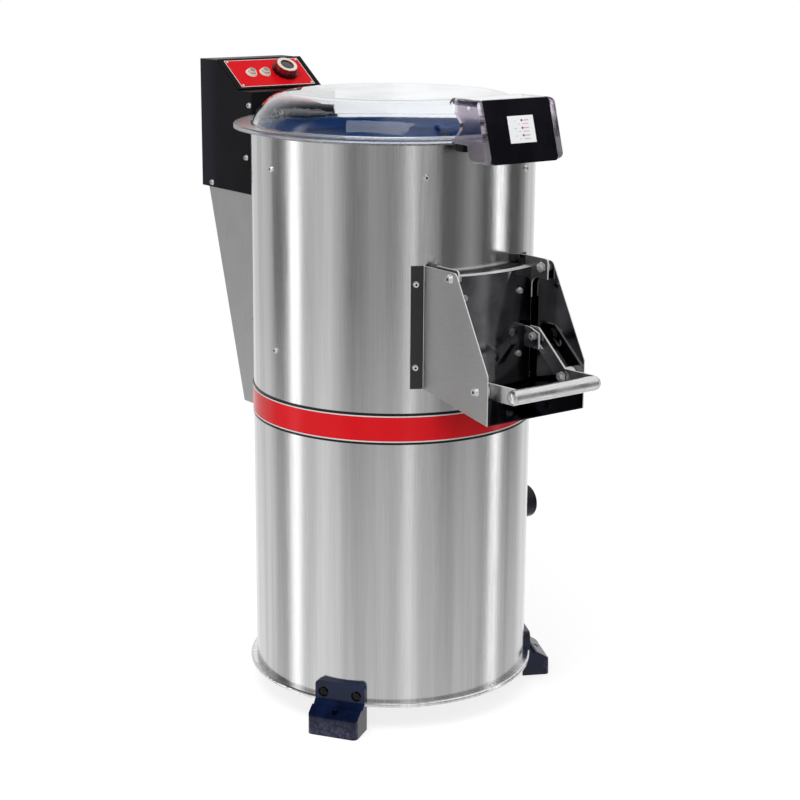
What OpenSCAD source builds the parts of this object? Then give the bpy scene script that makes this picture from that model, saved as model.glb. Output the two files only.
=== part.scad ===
// Floor-standing drum potato peeler.
// Origin on the drum axis at floor level, +Z up, the discharge chute looks along -Y,
// the control box stands at +Y and the drain leaves along +X.
// Side profiles are drawn as (forward, up), where forward is the distance along -Y.

/* [Drum] */
// Outside radius of the drum
drum_r = 260; // [256:1:266]
// Thickness of the drum sheet
sheet = 2; // [1.5:0.1:3]
// Height of the drum's lower edge above the floor
drum_bottom = 48; // [44:1:54]
// Height of the drum's upper edge above the floor
drum_top = 1073; // [1060:1:1100]
// Height of the seam between the upper and lower drum
seam_z = 571; // [568:1:576]
// Height of the coloured trim band
band_h = 40; // [30:1:50]
// Thickness of the trim band
band_t = 1.2; // [0.8:0.1:2]
// Drop of the upper row of drum screws below the rim
screw_drop = 61; // [50:1:80]
// Height of the lower row of drum screws above the seam
screw_rise = 117; // [90:1:140]
// How far the rolled bead stands out at the drum's lower edge
base_bead_w = 12; // [6:1:14]
// Height of the rolled bead at the lower edge
base_bead_h = 9; // [7:1:12]
// How far the rolled bead stands out at the drum's upper edge
rim_bead_w = 6; // [5:1:12]
// Height of the rolled bead at the upper edge
rim_bead_h = 6; // [5:1:14]

/* [Peeling chamber] */
// Thickness of the abrasive liner
liner_t = 8; // [5:1:12]
// Height of the chamber left bare above the liner
liner_drop = 62; // [55:1:80]
// Height of the rubber seal inside the rim
rim_seal_h = 24; // [16:1:30]
// Thickness of the rubber seal inside the rim
rim_seal_t = 7; // [5:1:10]
// Thickness of the pan under the disc
pan_t = 3; // [2:0.5:5]
// Height of the pan above the drum seam
pan_rise = 6; // [4:1:9]
// Free height between the pan and the disc
pan_room = 46; // [42:1:52]
// Thickness of the abrasive disc
disc_t = 12; // [10:1:16]
// Running gap between the disc and the liner
disc_gap = 5; // [3:0.5:8]
// Number of abrasive waves on the disc
wave_count = 3; // [2:1:5]
// Height of a wave above the disc
wave_h = 12; // [8:1:14]
// Radius of a wave's round back
wave_r = 34; // [28:1:40]

/* [Drive] */
// Radius of the main shaft
shaft_r = 12.5; // [10:0.5:15]
// Outside radius of a shaft bearing
bearing_r = 26; // [24:1:31]
// Height of a shaft bearing
bearing_h = 15; // [12:1:17]
// Length of the bearing housing
housing_l = 168; // [150:1:180]
// Wall of the bearing housing
housing_wall = 12; // [8:1:14]
// Radius of the driven pulley
driven_r = 100; // [85:1:104]
// Radius of the motor pulley
motor_pulley_r = 32; // [28:1:36]
// Width of both pulleys
pulley_w = 26; // [22:1:32]
// Height of the belt's middle above the floor
belt_z = 350; // [340:1:365]
// Width of the belt
belt_w = 12; // [10:1:14]
// Thickness of the belt
belt_t = 8; // [7:1:10]
// Distance from the main shaft to the motor shaft
motor_offset = 154; // [150:1:160]
// Radius of the motor body
motor_r = 70; // [60:1:72]
// Height of the motor body
motor_h = 200; // [170:1:215]
// Number of cooling ribs on the motor
rib_count = 24; // [12:2:32]
// Thickness of the motor plate
plate_t = 6; // [4:1:8]

/* [Drain] */
// Outside radius of the drain spigot
drain_r = 33; // [31:0.5:36]
// Wall of the drain spigot
drain_wall = 5; // [4:0.5:6]
// Height of the drain above the floor
drain_z = 297; // [285:1:305]
// How far the drain spigot stands out from the drum
drain_stub_l = 82; // [70:1:100]
// Distance from the drum wall to the drop pipe's middle
drop_inset = 75; // [70:1:80]
// Bend radius of the drain elbow
elbow_r = 42; // [38:1:45]

/* [Feet] */
// Number of degrees that the feet are turned from the chute
foot_turn = 3.5; // [0:0.5:10]
// Width of a foot
foot_w = 96; // [80:1:110]
// Distance from the drum wall to a foot's outer face
foot_depth = 50; // [48:1:65]
// Height of a foot's back plate
foot_h = 90; // [80:1:100]
// Height of a foot's step at its outer edge
foot_step_h = 36; // [30:1:40]
// Rise of the step from its outer edge to the back plate
foot_step_rise = 12; // [6:1:16]
// Thickness of a foot's back plate
foot_back_t = 9; // [8:1:11]
// Radius of a foot's corners, seen from above and from the front
foot_corner_r = 9; // [4:1:12]
// Distance from the drum wall to an anchor hole
anchor_depth = 34; // [32:1:36]
// Radius of an anchor hole
anchor_hole_r = 5.5; // [4:0.5:6]
// Distance between the two bolts of a foot
foot_bolt_gap = 64; // [50:1:70]
// Radius of a foot bolt
foot_bolt_r = 4; // [3:0.5:5]
// Radius of the recess round a foot bolt's head
foot_recess_r = 10; // [8.5:0.5:12]
// Depth of the recess round a foot bolt's head
foot_recess_h = 5.6; // [5:0.2:6]

/* [Lid] */
// How far the lid flange stands out from the drum
lid_over = 31; // [25:1:35]
// Thickness of the lid flange
lid_flange_t = 8; // [6:1:10]
// Width of the flange outside the dome
flange_w = 34; // [33:1:41]
// Radius of the dome's flat top
dome_flat_r = 185; // [170:1:200]
// Height of the dome above the flange
dome_h = 55; // [48:1:64]
// Wall of the clear dome
dome_wall = 4; // [3:0.5:5]
// Distance of the lid hinge behind the lid's edge
lid_hinge_gap = 17; // [15:1:19]
// Radius of the lid hinge pin
hinge_pin_r = 5; // [4:0.5:6]
// Half the width of the lid hinge
hinge_half_w = 52; // [44:1:60]

/* [Lid handle] */
// Half the width of the handle's front panel
grip_half_w = 72.5; // [60:0.5:80]
// Thickness of the handle's clear cheeks
cheek_t = 12; // [8:1:14]
// Radius of the cheeks' front corners
cheek_corner_r = 10; // [6:1:14]
// Thickness of the handle's clear top
grip_top_t = 4.5; // [3:0.5:6]
// Distance from the lid's edge to the panel's upper edge
grip_top_over = 51; // [46:1:56]
// Distance from the lid's edge to the panel's lower edge
grip_low_over = 81; // [74:1:86]
// Height of the panel's upper edge above the rim
grip_top_rise = 75; // [70:1:84]
// Drop of the panel's lower edge below the rim
grip_low_drop = 29; // [20:1:32]
// Depth of the handle's clear top
grip_top_depth = 70; // [60:1:80]
// Depth of the cheeks below the lid
cheek_low_depth = 43; // [36:1:46]
// Thickness of the front panel
grip_panel_t = 6; // [4:1:8]

/* [Chute] */
// Half the clear width between the chute's side plates
chute_half_w = 107; // [104:1:110]
// Thickness of the chute sheet
chute_t = 2; // [1.5:0.5:3]
// Distance from the drum wall to the chute's lip
chute_depth = 154; // [150:1:164]
// Height of the lip above the drum seam
lip_rise = 43; // [38:1:48]
// Rise of the chute floor from the lip to the drum
floor_rise = 30; // [26:1:34]
// Height of the vertical part of a side plate's front edge
front_edge_h = 86; // [76:1:94]
// Height of a side plate's top above the door hinge
top_over_hinge = 12; // [10:1:14]
// Height of a side plate's lower flange screw above the chute floor
flange_screw_low = 38; // [20:1:60]
// Height of a side plate's upper flange screw above the chute floor
flange_screw_high = 185; // [160:1:190]
// Angle that a side plate's mounting flange covers on the drum
chute_flange_angle = 5.2; // [4:0.1:6]

/* [Door] */
// Distance from the drum wall to the door hinge
door_hinge_depth = 50; // [46:1:54]
// Height of the door hinge above the drum seam
door_hinge_rise = 278; // [274:1:282]
// Half the width of the discharge opening
opening_half_w = 86; // [80:1:88]
// Height of the discharge opening
opening_h = 178; // [160:1:180]
// Half the width of the door
door_half_w = 98; // [96:1:99]
// Distance from the drum wall to the door's outer skin
door_depth = 37; // [34:1:39]
// Thickness of the door's rubber gasket
gasket_t = 4.5; // [3:0.5:5.5]
// Width of the gasket's face
gasket_w = 9; // [6:1:9]
// Thickness of a door ear
ear_t = 3; // [2:0.5:4]
// Radius of the door hinge bolts
hinge_bolt_r = 5; // [4:0.5:6]

/* [Discharge handle] */
// Distance from the drum wall to the handle's pivot
bail_pivot_depth = 124; // [120:1:128]
// Height of the handle's pivot above the drum seam
bail_pivot_rise = 97; // [94:1:102]
// Distance from the drum wall to the handle tube
tube_depth = 200; // [194:1:206]
// Height of the handle tube above the drum seam
tube_rise = 100; // [96:1:106]
// Radius of the handle tube
tube_r = 13; // [11:0.5:15]
// Half the length of the handle tube
tube_half_l = 98; // [94:1:102]
// Width of the handle's arms
arm_w = 28; // [25:1:30]
// Thickness of the handle's arms
arm_t = 4; // [3:0.5:5]
// Length of the white spacers beside the arms
spacer_l = 17.4; // [15:0.2:19]
// Radius of the white spacers
spacer_r = 9; // [8:0.5:11]
// Distance from the drum wall to the link bolts
link_depth = 52; // [48:1:56]
// Height of the link bolts above the drum seam
link_rise = 157; // [154:1:160]
// Radius of the link bolts
link_bolt_r = 4; // [3:0.5:5]
// Length of the slot in which a link bolt slides
link_slot_l = 24; // [22:1:26]
// Free play of a link bolt across its slot
link_play = 2.8; // [2.6:0.1:3.4]

/* [Control box] */
// Half the width of the control box
box_half_w = 97.5; // [90:0.5:100]
// Distance from the drum wall to the box's front above the rim
box_gap = 70; // [68:1:74]
// Depth of the box above the rim
box_depth = 190; // [175:1:195]
// Depth of the box's flat top
box_top_depth = 64; // [50:1:80]
// Height of the box above the rim
box_rise = 96; // [90:1:104]
// Height of the ledge below the sloping panel, above the rim
ledge_rise = 42; // [40:1:50]
// Depth of the ledge below the sloping panel
ledge_depth = 48; // [38:1:50]
// Drop of the box's bottom below the rim
box_drop = 157; // [150:1:180]
// Wall of the control box
box_wall = 3; // [2:0.5:4]
// Thickness of the fascia plate
fascia_t = 2.5; // [1.5:0.5:4]
// Sideways place of the timer knob
knob_x = 35; // [32:1:40]
// Radius of the knob's skirt
knob_r = 26; // [22:1:27]
// Height of the timer knob
knob_h = 17; // [14:1:24]
// Sideways place of the start button
start_x = -43; // [-48:1:-38]
// Sideways place of the stop button
stop_x = -11; // [-14:1:-8]
// Radius of a push button
button_r = 8; // [6:0.5:9]
// Height of a push button above its bezel
button_h = 5; // [4.5:0.5:7]

/* [Rear duct] */
// Half the width of the cable duct
duct_half_w = 90; // [80:1:92]
// Distance from the box's back to the duct's back at its top
duct_inset = 13; // [10:1:25]
// Distance from the drum wall to the duct's back at its bottom
duct_low_depth = 123; // [110:1:130]
// Drop of the duct's bottom below the drum seam
duct_drop = 80; // [50:1:90]

/* [Hidden] */

$fn = 96;
small_fn = 32;
seat = 0.2;        // gap between pieces that rest on each other
fit = 0.05;        // radial gap of a running or locating fit
far = 900;         // longer than any piece

// Levels
pan_z = seam_z + pan_rise;
pan_top = pan_z + pan_t;
disc_z = pan_top + pan_room;
disc_top = disc_z + disc_t;
liner_r = drum_r - sheet - seat;
liner_in = liner_r - liner_t;
liner_top = drum_top - liner_drop;
disc_r = liner_in - disc_gap;
lid_z = drum_top + seat;
dome_z = lid_z + lid_flange_t;
lid_r = drum_r + lid_over;
dome_base_r = lid_r - flange_w;
lid_hinge_back = lid_r + lid_hinge_gap;
knuckle_r = hinge_pin_r + 3.5;
hinge_leaf_t = 4;
hinge_z = dome_z + hinge_leaf_t - knuckle_r;
hinge_plate_h = 28;
drain_reach = drum_r + drain_stub_l;
drop_x = drum_r - drop_inset;
bead_out = drum_r + seat + rim_bead_w;

// Chute and door
lip_reach = drum_r + chute_depth;
lip_z = seam_z + lip_rise;
floor_z = lip_z + floor_rise;
opening_z = floor_z + 15;
door_hinge_y = drum_r + door_hinge_depth;
door_hinge_z = seam_z + door_hinge_rise;
door_r = drum_r + door_depth;
opening_top = opening_z + opening_h;
door_low = opening_z - gasket_w;
door_top = opening_top + gasket_w;
gasket_in = drum_r + 2 * seat;
gasket_out = gasket_in + gasket_t;
door_back = gasket_out + sheet;
door_lip_drop = 6;
plate_in = chute_half_w;
plate_out = chute_half_w + chute_t;

// Discharge handle and its link to the door
bail_pivot_y = drum_r + bail_pivot_depth;
bail_pivot_z = seam_z + bail_pivot_rise;
tube_y = drum_r + tube_depth;
tube_z = seam_z + tube_rise;
link_y = drum_r + link_depth;
link_z = seam_z + link_rise;
arm_out = plate_in - spacer_l - seat;
arm_in = arm_out - arm_t;
bracket_t = 4;
bracket_out = arm_in - 2;
bracket_in = bracket_out - bracket_t;
link_angle = atan2(link_z - bail_pivot_z, link_y - bail_pivot_y);
link_length = norm([link_y - bail_pivot_y, link_z - bail_pivot_z]);
tube_angle = atan2(tube_z - bail_pivot_z, tube_y - bail_pivot_y);
tube_length = norm([tube_y - bail_pivot_y, tube_z - bail_pivot_z]);
slot_shift = 0.8;  // centres the slot on the bolt's path

// Control panel
box_top = drum_top + box_rise;
box_ledge = drum_top + ledge_rise;
box_bottom = drum_top - box_drop;
box_neck = min(drum_top - rim_bead_h, hinge_z - hinge_plate_h / 2 - seat);
box_front = drum_r + box_gap;
box_back = box_front + box_depth;
panel_foot = box_front + ledge_depth;
panel_top = box_back - box_top_depth;
panel_slope = atan2(box_top - box_ledge, panel_top - panel_foot);
panel_l = norm([box_top - box_ledge, panel_top - panel_foot]);

// Drive
pulley_low = belt_z - pulley_w / 2;
motor_top = pulley_low - 12;
housing_top = pan_top + 20;
housing_out = bearing_r + housing_wall;

// Feet
foot_angles = [for (i = [0:2]) foot_turn - 60 + 120 * i];
foot_back = drum_r + seat + foot_back_t;
foot_reach = drum_r + foot_depth;
anchor_r = drum_r + anchor_depth;
foot_bolt_z = foot_h - 22;

// Fasteners
screw_r = 3;
screw_head_r = 6;
screw_head_h = 3.6;

// ---------- helpers ----------

// A (forward, up) profile extruded across the machine from x = low to x = high
module across(low, high) {
    translate([high, 0, 0])
        rotate([90, 0, -90])
            linear_extrude(high - low)
                children();
}

// The same profile on both sides of the machine
module both_sides(low, high) {
    across(low, high) children();
    across(-high, -low) children();
}

module ring(inner, outer, low, high) {
    translate([0, 0, low])
        difference() {
            cylinder(r = outer, h = high - low);
            translate([0, 0, -1]) cylinder(r = inner, h = high - low + 2);
        }
}

// The front part of a ring, up to half_w on each side
module ring_front(inner, outer, half_w, low, high) {
    intersection() {
        ring(inner, outer, low, high);
        translate([-half_w, -far, low]) cube([2 * half_w, far, high - low]);
    }
}

module drum_space(gap = seat) {
    cylinder(r = drum_r + gap, h = 2 * far);
}

// Places a child that is drawn at the front of the machine at another angle
module at_angle(angle) {
    rotate([0, 0, angle]) children();
}

// Lays a child's z axis along -Y, with its foot at forward distance y
module outward(y, z, x = 0) {
    translate([x, -y, z]) rotate([90, 0, 0]) children();
}

// Lays a child's z axis along +X
module sideways(x, y, z) {
    translate([x, -y, z]) rotate([0, 90, 0]) children();
}

module pan_screw(shank) {
    cylinder(r1 = screw_head_r, r2 = screw_head_r - 1.6, h = screw_head_h, $fn = small_fn);
    translate([0, 0, -shank]) cylinder(r = screw_r, h = shank, $fn = small_fn);
}

module hex_head(across_flats, h) {
    cylinder(r = across_flats / sqrt(3), h = h, $fn = 6);
}

// Points of an arc round a middle, in even steps
function arc(middle, radius, from, to, steps = 6) =
    [for (a = [from : (to - from) / steps : to]) middle + radius * [cos(a), sin(a)]];

// Places a child on the sloping control panel: x sideways, y up the slope from its middle
module on_panel(x = 0, y = 0, lift = 0) {
    translate([0, (panel_top + panel_foot) / 2, (box_top + box_ledge) / 2])
        rotate([panel_slope, 0, 0])
            translate([x, y, lift])
                children();
}

// ---------- drum ----------

module discharge_cut() {
    translate([-opening_half_w, -far, opening_z]) cube([2 * opening_half_w, far, opening_h]);
}

screw_angles = [-24, 28, -92, 92, -150, 150];
lower_screws = [-90, 90, -150, 150];
flange_screw_angle = asin(plate_out / drum_r) + chute_flange_angle / 2 + 0.3;

module each_drum_screw(start) {
    for (a = screw_angles) at_angle(a) outward(start, drum_top - screw_drop) children();
    for (a = lower_screws) at_angle(a) outward(start, seam_z + screw_rise) children();
}

module each_flange_screw(start) {
    for (side = [-1, 1])
        for (z = [flange_screw_low, flange_screw_high])
            at_angle(side * flange_screw_angle) outward(start, floor_z + z) children();
}

inlet_angle = 120;
inlet_z = drum_top - 45;
inlet_r = 10.48;

module upper_drum() {
    color("silver")
        difference() {
            ring(drum_r - sheet, drum_r, seam_z, drum_top);
            discharge_cut();
            each_drum_screw(drum_r - 20) cylinder(r = screw_r + fit, h = 40, $fn = small_fn);
            each_flange_screw(drum_r - 20) cylinder(r = screw_r + fit, h = 40, $fn = small_fn);
            at_angle(inlet_angle) outward(drum_r - 20, inlet_z) cylinder(r = inlet_r + fit, h = 40);
        }
}

module each_foot_bolt(start) {
    for (a = foot_angles)
        for (side = [-1, 1])
            at_angle(a) outward(start, foot_bolt_z, side * foot_bolt_gap / 2) children();
}

module lower_drum() {
    color("silver")
        difference() {
            ring(drum_r - sheet, drum_r, drum_bottom, seam_z - seat);
            each_foot_bolt(drum_r - 30) cylinder(r = foot_bolt_r + fit, h = 60, $fn = small_fn);
            sideways(drum_r - 40, 0, drain_z) cylinder(r = drain_r + fit, h = 80);
        }
}

// A bead rolled outwards: round at its outer edge, which keeps a narrow flat
module bead(width, height, low) {
    start = drum_r + seat;
    flat = 1;
    round_r = (min(height, width) - flat) / 2;
    rotate_extrude() {
        translate([start, low]) square([width - round_r, height]);
        translate([start, low + round_r]) square([width, height - 2 * round_r]);
        for (z = [low + round_r, low + height - round_r])
            translate([start + width - round_r, z]) circle(r = round_r);
    }
}

module base_bead() {
    color("silver")
        difference() {
            bead(base_bead_w, base_bead_h, drum_bottom);
            for (a = foot_angles)
                at_angle(a)
                    translate([-foot_w / 2 - seat, -far, 0])
                        cube([foot_w + 2 * seat, far, drum_bottom + base_bead_h + 1]);
        }
}

module rim_bead() {
    color("silver") bead(rim_bead_w, rim_bead_h, drum_top - rim_bead_h);
}

module rim_seal() {
    color("midnightblue") {
        ring(liner_r - rim_seal_t, liner_r, drum_top - rim_seal_h, drum_top - seat);
        ring(liner_r - rim_seal_t - 3, liner_r - rim_seal_t, drum_top - 6, drum_top - seat);
    }
}

module trim_band() {
    color("firebrick")
        ring(drum_r + seat, drum_r + seat + band_t, seam_z - band_h / 2, seam_z + band_h / 2);
}

vent_rows = [110, 150, 190];

module base_plate() {
    color("silver")
        difference() {
            translate([0, 0, drum_bottom + 2]) cylinder(r = liner_r, h = sheet);
            for (a = [0:30:330])
                at_angle(a)
                    for (y = vent_rows)
                        translate([-14, -y - 3, 0]) cube([28, 6, drum_bottom + 10]);
        }
}

// ---------- peeling chamber ----------

module abrasive_liner() {
    color("dimgray")
        difference() {
            ring(liner_in, liner_r, disc_z, liner_top);
            discharge_cut();
        }
}

collar_h = 27;

module chamber_pan() {
    color("silver")
        difference() {
            union() {
                translate([0, 0, pan_z]) cylinder(r = liner_r, h = pan_t);
                ring(liner_r - pan_t, liner_r, pan_z, pan_top + 25);
                translate([0, 0, pan_z]) cylinder(r = housing_out + 4, h = pan_t + collar_h);
            }
            cylinder(r = housing_out + fit, h = far);
            translate([drop_x, 0, 0]) cylinder(r = pipe_out - pipe_wall, h = far);
        }
}

pipe_out = drain_r - drain_wall - fit;
pipe_wall = 2.5;

module pipe_section() {
    difference() {
        circle(r = pipe_out);
        circle(r = pipe_out - pipe_wall);
    }
}

module drain_elbow() {
    bend_z = drain_z + elbow_r;
    color("gainsboro") {
        translate([drop_x, 0, bend_z]) linear_extrude(pan_z - bend_z) pipe_section();
        translate([drop_x + elbow_r, 0, bend_z])
            rotate([90, 0, 0])
                rotate([0, 0, 180])
                    rotate_extrude(angle = 90)
                        translate([elbow_r, 0]) pipe_section();
        sideways(drop_x + elbow_r, 0, drain_z) linear_extrude(drum_r - drop_x - elbow_r) pipe_section();
    }
}

module drain_spigot() {
    start = drop_x + elbow_r + 12;
    collar_r = drain_r + 10;
    color("black")
        difference() {
            union() {
                sideways(start, 0, drain_z) cylinder(r = drain_r, h = drain_reach - start);
                difference() {
                    sideways(drum_r - 20, 0, drain_z) cylinder(r = collar_r, h = 27);
                    drum_space();
                }
            }
            sideways(start - 1, 0, drain_z) cylinder(r = drain_r - drain_wall, h = far);
        }
}

inlet_reach = drum_r + 34;

module water_inlet() {
    color("goldenrod")
        at_angle(inlet_angle)
            difference() {
                union() {
                    outward(drum_r - 12, inlet_z) cylinder(r = inlet_r, h = inlet_reach - drum_r + 12);
                    outward(drum_r + 1, inlet_z) hex_head(27, 9);
                    outward(drum_r - sheet - 9, inlet_z) hex_head(27, 6);
                }
                outward(drum_r - 20, inlet_z) cylinder(r = 7.5, h = 60);
            }
}

wave_axis_z = disc_top + wave_h - wave_r;

module abrasive_disc() {
    hub_r = shaft_r + 11;
    nut_seat_r = 34;
    color("darkslategray")
        difference() {
            union() {
                translate([0, 0, disc_z]) cylinder(r = disc_r, h = disc_t);
                translate([0, 0, housing_top + 1]) cylinder(r = hub_r, h = disc_z - housing_top);
                intersection() {
                    for (i = [0:wave_count - 1])
                        at_angle(360 / wave_count * i)
                            outward(nut_seat_r + 6, wave_axis_z)
                                cylinder(r = wave_r, h = disc_r - nut_seat_r - 20);
                    translate([0, 0, disc_z]) cylinder(r = disc_r, h = disc_t + wave_h);
                }
                for (a = [60, 240])
                    at_angle(a)
                        translate([-3, -disc_r + 8, pan_top + 5])
                            cube([6, disc_r - 70, disc_z - pan_top - 4]);
            }
            cylinder(r = shaft_r + fit, h = far);
        }
}

module disc_nut() {
    nut_r = 24;
    color("silver")
        difference() {
            union() {
                translate([0, 0, disc_top + seat]) cylinder(r = nut_r + 4, h = 4);
                translate([0, 0, disc_top + seat + 4]) cylinder(r1 = nut_r, r2 = nut_r - 4, h = 10);
                translate([0, 0, disc_top + seat + 14])
                    intersection() {
                        translate([0, 0, -12]) sphere(r = norm([nut_r - 4, 12]));
                        cylinder(r = nut_r, h = nut_r);
                    }
            }
            cylinder(r = shaft_r + fit, h = disc_top + 12);
        }
}

// ---------- drive ----------

module main_shaft() {
    color("silver")
        translate([0, 0, pulley_low - 8]) cylinder(r = shaft_r, h = disc_top + 11 - pulley_low + 8);
}

module bearing_housing() {
    low = housing_top - housing_l;
    color("slategray")
        difference() {
            union() {
                translate([0, 0, low]) cylinder(r = housing_out, h = housing_l);
                translate([0, 0, pan_z - 14]) cylinder(r = housing_out + 32, h = 14 - seat);
            }
            translate([0, 0, low - 1]) cylinder(r = bearing_r - 5, h = far);
            translate([0, 0, low - 1]) cylinder(r = bearing_r + fit, h = bearing_h + 4);
            translate([0, 0, housing_top - bearing_h - 11]) cylinder(r = bearing_r + fit, h = far);
            for (a = [45:90:315])
                at_angle(a) translate([0, -housing_out - 18, 0]) cylinder(r = 4, h = far, $fn = small_fn);
        }
}

module bearing(low) {
    race = 3.4;
    ball_r = (bearing_r - shaft_r) / 2 - race + 0.4;
    mid = (bearing_r + shaft_r) / 2;
    ring(shaft_r + fit, shaft_r + race, low, low + bearing_h);
    ring(bearing_r - race, bearing_r, low, low + bearing_h);
    difference() {
        ring(shaft_r + race, bearing_r - race, low + 2, low + bearing_h - 2);
        translate([0, 0, low + bearing_h / 2])
            rotate_extrude()
                translate([mid, 0]) circle(r = min(ball_r, bearing_h / 2 - 3) / 2, $fn = small_fn);
    }
}

module bearings() {
    color("lightsteelblue") {
        bearing(housing_top - housing_l + 3 - seat);
        bearing(housing_top - bearing_h - 11 + seat);
    }
}

module shaft_seal() {
    color("black") ring(shaft_r + fit, bearing_r, housing_top - 9, housing_top - 1);
}

module v_groove(radius) {
    depth = belt_t + 1;
    translate([0, 0, belt_z])
        rotate_extrude()
            polygon([[radius - depth, -belt_w / 2 + 1], [radius + 1, -belt_w / 2 - 2],
                [radius + 1, belt_w / 2 + 2], [radius - depth, belt_w / 2 - 1]]);
}

module driven_pulley() {
    hub_r = shaft_r + 14;
    color("slategray")
        difference() {
            union() {
                ring(driven_r - 20, driven_r, pulley_low, pulley_low + pulley_w);
                translate([0, 0, belt_z - 5]) cylinder(r = driven_r - 10, h = 10);
                translate([0, 0, pulley_low - 4]) cylinder(r = hub_r, h = pulley_w + 16);
            }
            v_groove(driven_r);
            for (a = [0:60:300])
                at_angle(a)
                    translate([0, -(driven_r - 20 + hub_r) / 2, 0]) cylinder(r = 15, h = far, $fn = small_fn);
            cylinder(r = shaft_r + fit, h = far);
        }
}

motor_shaft_r = 9.5;

module motor_pulley() {
    translate([0, motor_offset, 0])
        color("slategray")
            difference() {
                translate([0, 0, pulley_low]) cylinder(r = motor_pulley_r, h = pulley_w);
                v_groove(motor_pulley_r);
                cylinder(r = motor_shaft_r + fit, h = far);
            }
}

module motor_shaft() {
    color("silver")
        translate([0, motor_offset, motor_top - motor_h / 2])
            cylinder(r = motor_shaft_r, h = pulley_low + pulley_w + 4 - motor_top + motor_h / 2);
}

// Outline of a belt that runs round both pulleys
module belt_outline(grow) {
    r1 = driven_r + grow;
    r2 = motor_pulley_r + grow;
    lean = asin((r1 - r2) / motor_offset);
    circle(r = r1);
    translate([0, motor_offset]) circle(r = r2);
    polygon([[r1 * cos(lean), r1 * sin(lean)],
        [r2 * cos(lean), motor_offset + r2 * sin(lean)],
        [-r2 * cos(lean), motor_offset + r2 * sin(lean)],
        [-r1 * cos(lean), r1 * sin(lean)]]);
}

module drive_belt() {
    color("black")
        translate([0, 0, belt_z - belt_w / 2 + 1.4])
            linear_extrude(belt_w - 2.8)
                difference() {
                    belt_outline(0.6);
                    belt_outline(0.6 - belt_t);
                }
}

pilot_r = 44;

module motor_plate() {
    chord = 62;
    apron_h = 34;
    color("silver")
        difference() {
            union() {
                intersection() {
                    translate([0, 0, motor_top]) cylinder(r = liner_r, h = plate_t);
                    translate([-far, chord, 0]) cube([2 * far, far, far]);
                }
                intersection() {
                    translate([0, 0, motor_top - apron_h]) cylinder(r = liner_r, h = apron_h + plate_t);
                    translate([-far, chord, 0]) cube([2 * far, plate_t, far]);
                }
            }
            translate([0, motor_offset, 0]) cylinder(r = pilot_r + fit, h = far);
            translate([-motor_r - 3, chord - 1, motor_top - far])
                cube([2 * motor_r + 6, plate_t + 2, far - seat]);
            for (a = [45:90:315])
                translate([0, motor_offset, 0])
                    at_angle(a) translate([0, -pilot_r - 12, 0]) cylinder(r = 4, h = far, $fn = small_fn);
        }
}

module motor_body() {
    low = motor_top - motor_h;
    rib_t = 3;
    core_r = motor_r - 9;
    color("dimgray")
        translate([0, motor_offset, 0])
            difference() {
                union() {
                    translate([0, 0, low + 40]) cylinder(r = core_r, h = motor_h - 40 - seat);
                    translate([0, 0, low]) cylinder(r = motor_r, h = 42);
                    translate([0, 0, motor_top - 14]) cylinder(r = motor_r, h = 14 - seat);
                    translate([0, 0, motor_top - seat]) cylinder(r = pilot_r, h = plate_t - 1);
                    for (i = [0:rib_count - 1])
                        at_angle(360 / rib_count * i)
                            translate([-rib_t / 2, -motor_r + 0.5, low + 40])
                                cube([rib_t, motor_r - 20, motor_h - 50]);
                }
                translate([0, 0, motor_top - motor_h / 2 - 1]) cylinder(r = motor_shaft_r + fit, h = far);
            }
}

// ---------- feet ----------

// Side profile of a foot, carried back to the drum wall so that its hollow face follows the drum
module foot_profile() {
    ridge = foot_back + 15;
    ridge_z = foot_step_h + foot_step_rise;
    round_r = 4;
    start = drum_r - 30;
    polygon(concat([[start, 0], [foot_reach, 0], [foot_reach - 2, foot_step_h - round_r]],
        arc([foot_reach - 2 - round_r, foot_step_h - round_r], round_r, 0, 60),
        arc([ridge, ridge_z - round_r], round_r, 65, 180),
        [[foot_back + 4, ridge_z + 2], [foot_back, ridge_z + 6], [foot_back, foot_h], [start, foot_h]]));
}

// A foot's outline from above, with rounded outer corners
module foot_plan() {
    half = foot_w / 2;
    y = foot_reach - foot_corner_r;
    polygon(concat([[-half, 0]], arc([-half + foot_corner_r, -y], foot_corner_r, 180, 270),
        arc([half - foot_corner_r, -y], foot_corner_r, 270, 360), [[half, 0]]));
}

// A foot's outline from the front, with rounded upper corners
module foot_face() {
    half = foot_w / 2;
    z = foot_h - foot_corner_r;
    polygon(concat([[-half, 0], [half, 0]], arc([half - foot_corner_r, z], foot_corner_r, 0, 90),
        arc([-half + foot_corner_r, z], foot_corner_r, 90, 180)));
}

module feet() {
    color("black")
        for (a = foot_angles)
            at_angle(a)
                difference() {
                    intersection() {
                        across(-foot_w / 2, foot_w / 2) foot_profile();
                        linear_extrude(far) foot_plan();
                        outward(0, 0) linear_extrude(far) foot_face();
                    }
                    drum_space();
                    translate([0, -anchor_r, -1]) cylinder(r = anchor_hole_r, h = far);
                    for (side = [-1, 1]) {
                        outward(drum_r - 40, foot_bolt_z, side * foot_bolt_gap / 2)
                            cylinder(r = foot_bolt_r + fit, h = far, $fn = small_fn);
                        outward(foot_back - foot_recess_h, foot_bolt_z, side * foot_bolt_gap / 2)
                            cylinder(r = foot_recess_r, h = far);
                    }
                }
}

module foot_bolts() {
    wall_y = sqrt(pow(drum_r - sheet, 2) - pow(foot_bolt_gap / 2 + 8, 2));
    nut_start = wall_y - 6 - seat;
    head_start = foot_back - foot_recess_h - nut_start + seat;
    color("silver")
        each_foot_bolt(nut_start) {
            translate([0, 0, -3]) cylinder(r = foot_bolt_r, h = head_start + 4, $fn = small_fn);
            translate([0, 0, head_start]) hex_head(13, foot_recess_h - 2 * seat);
            hex_head(13, 6);
        }
}

// ---------- control box ----------

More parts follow.
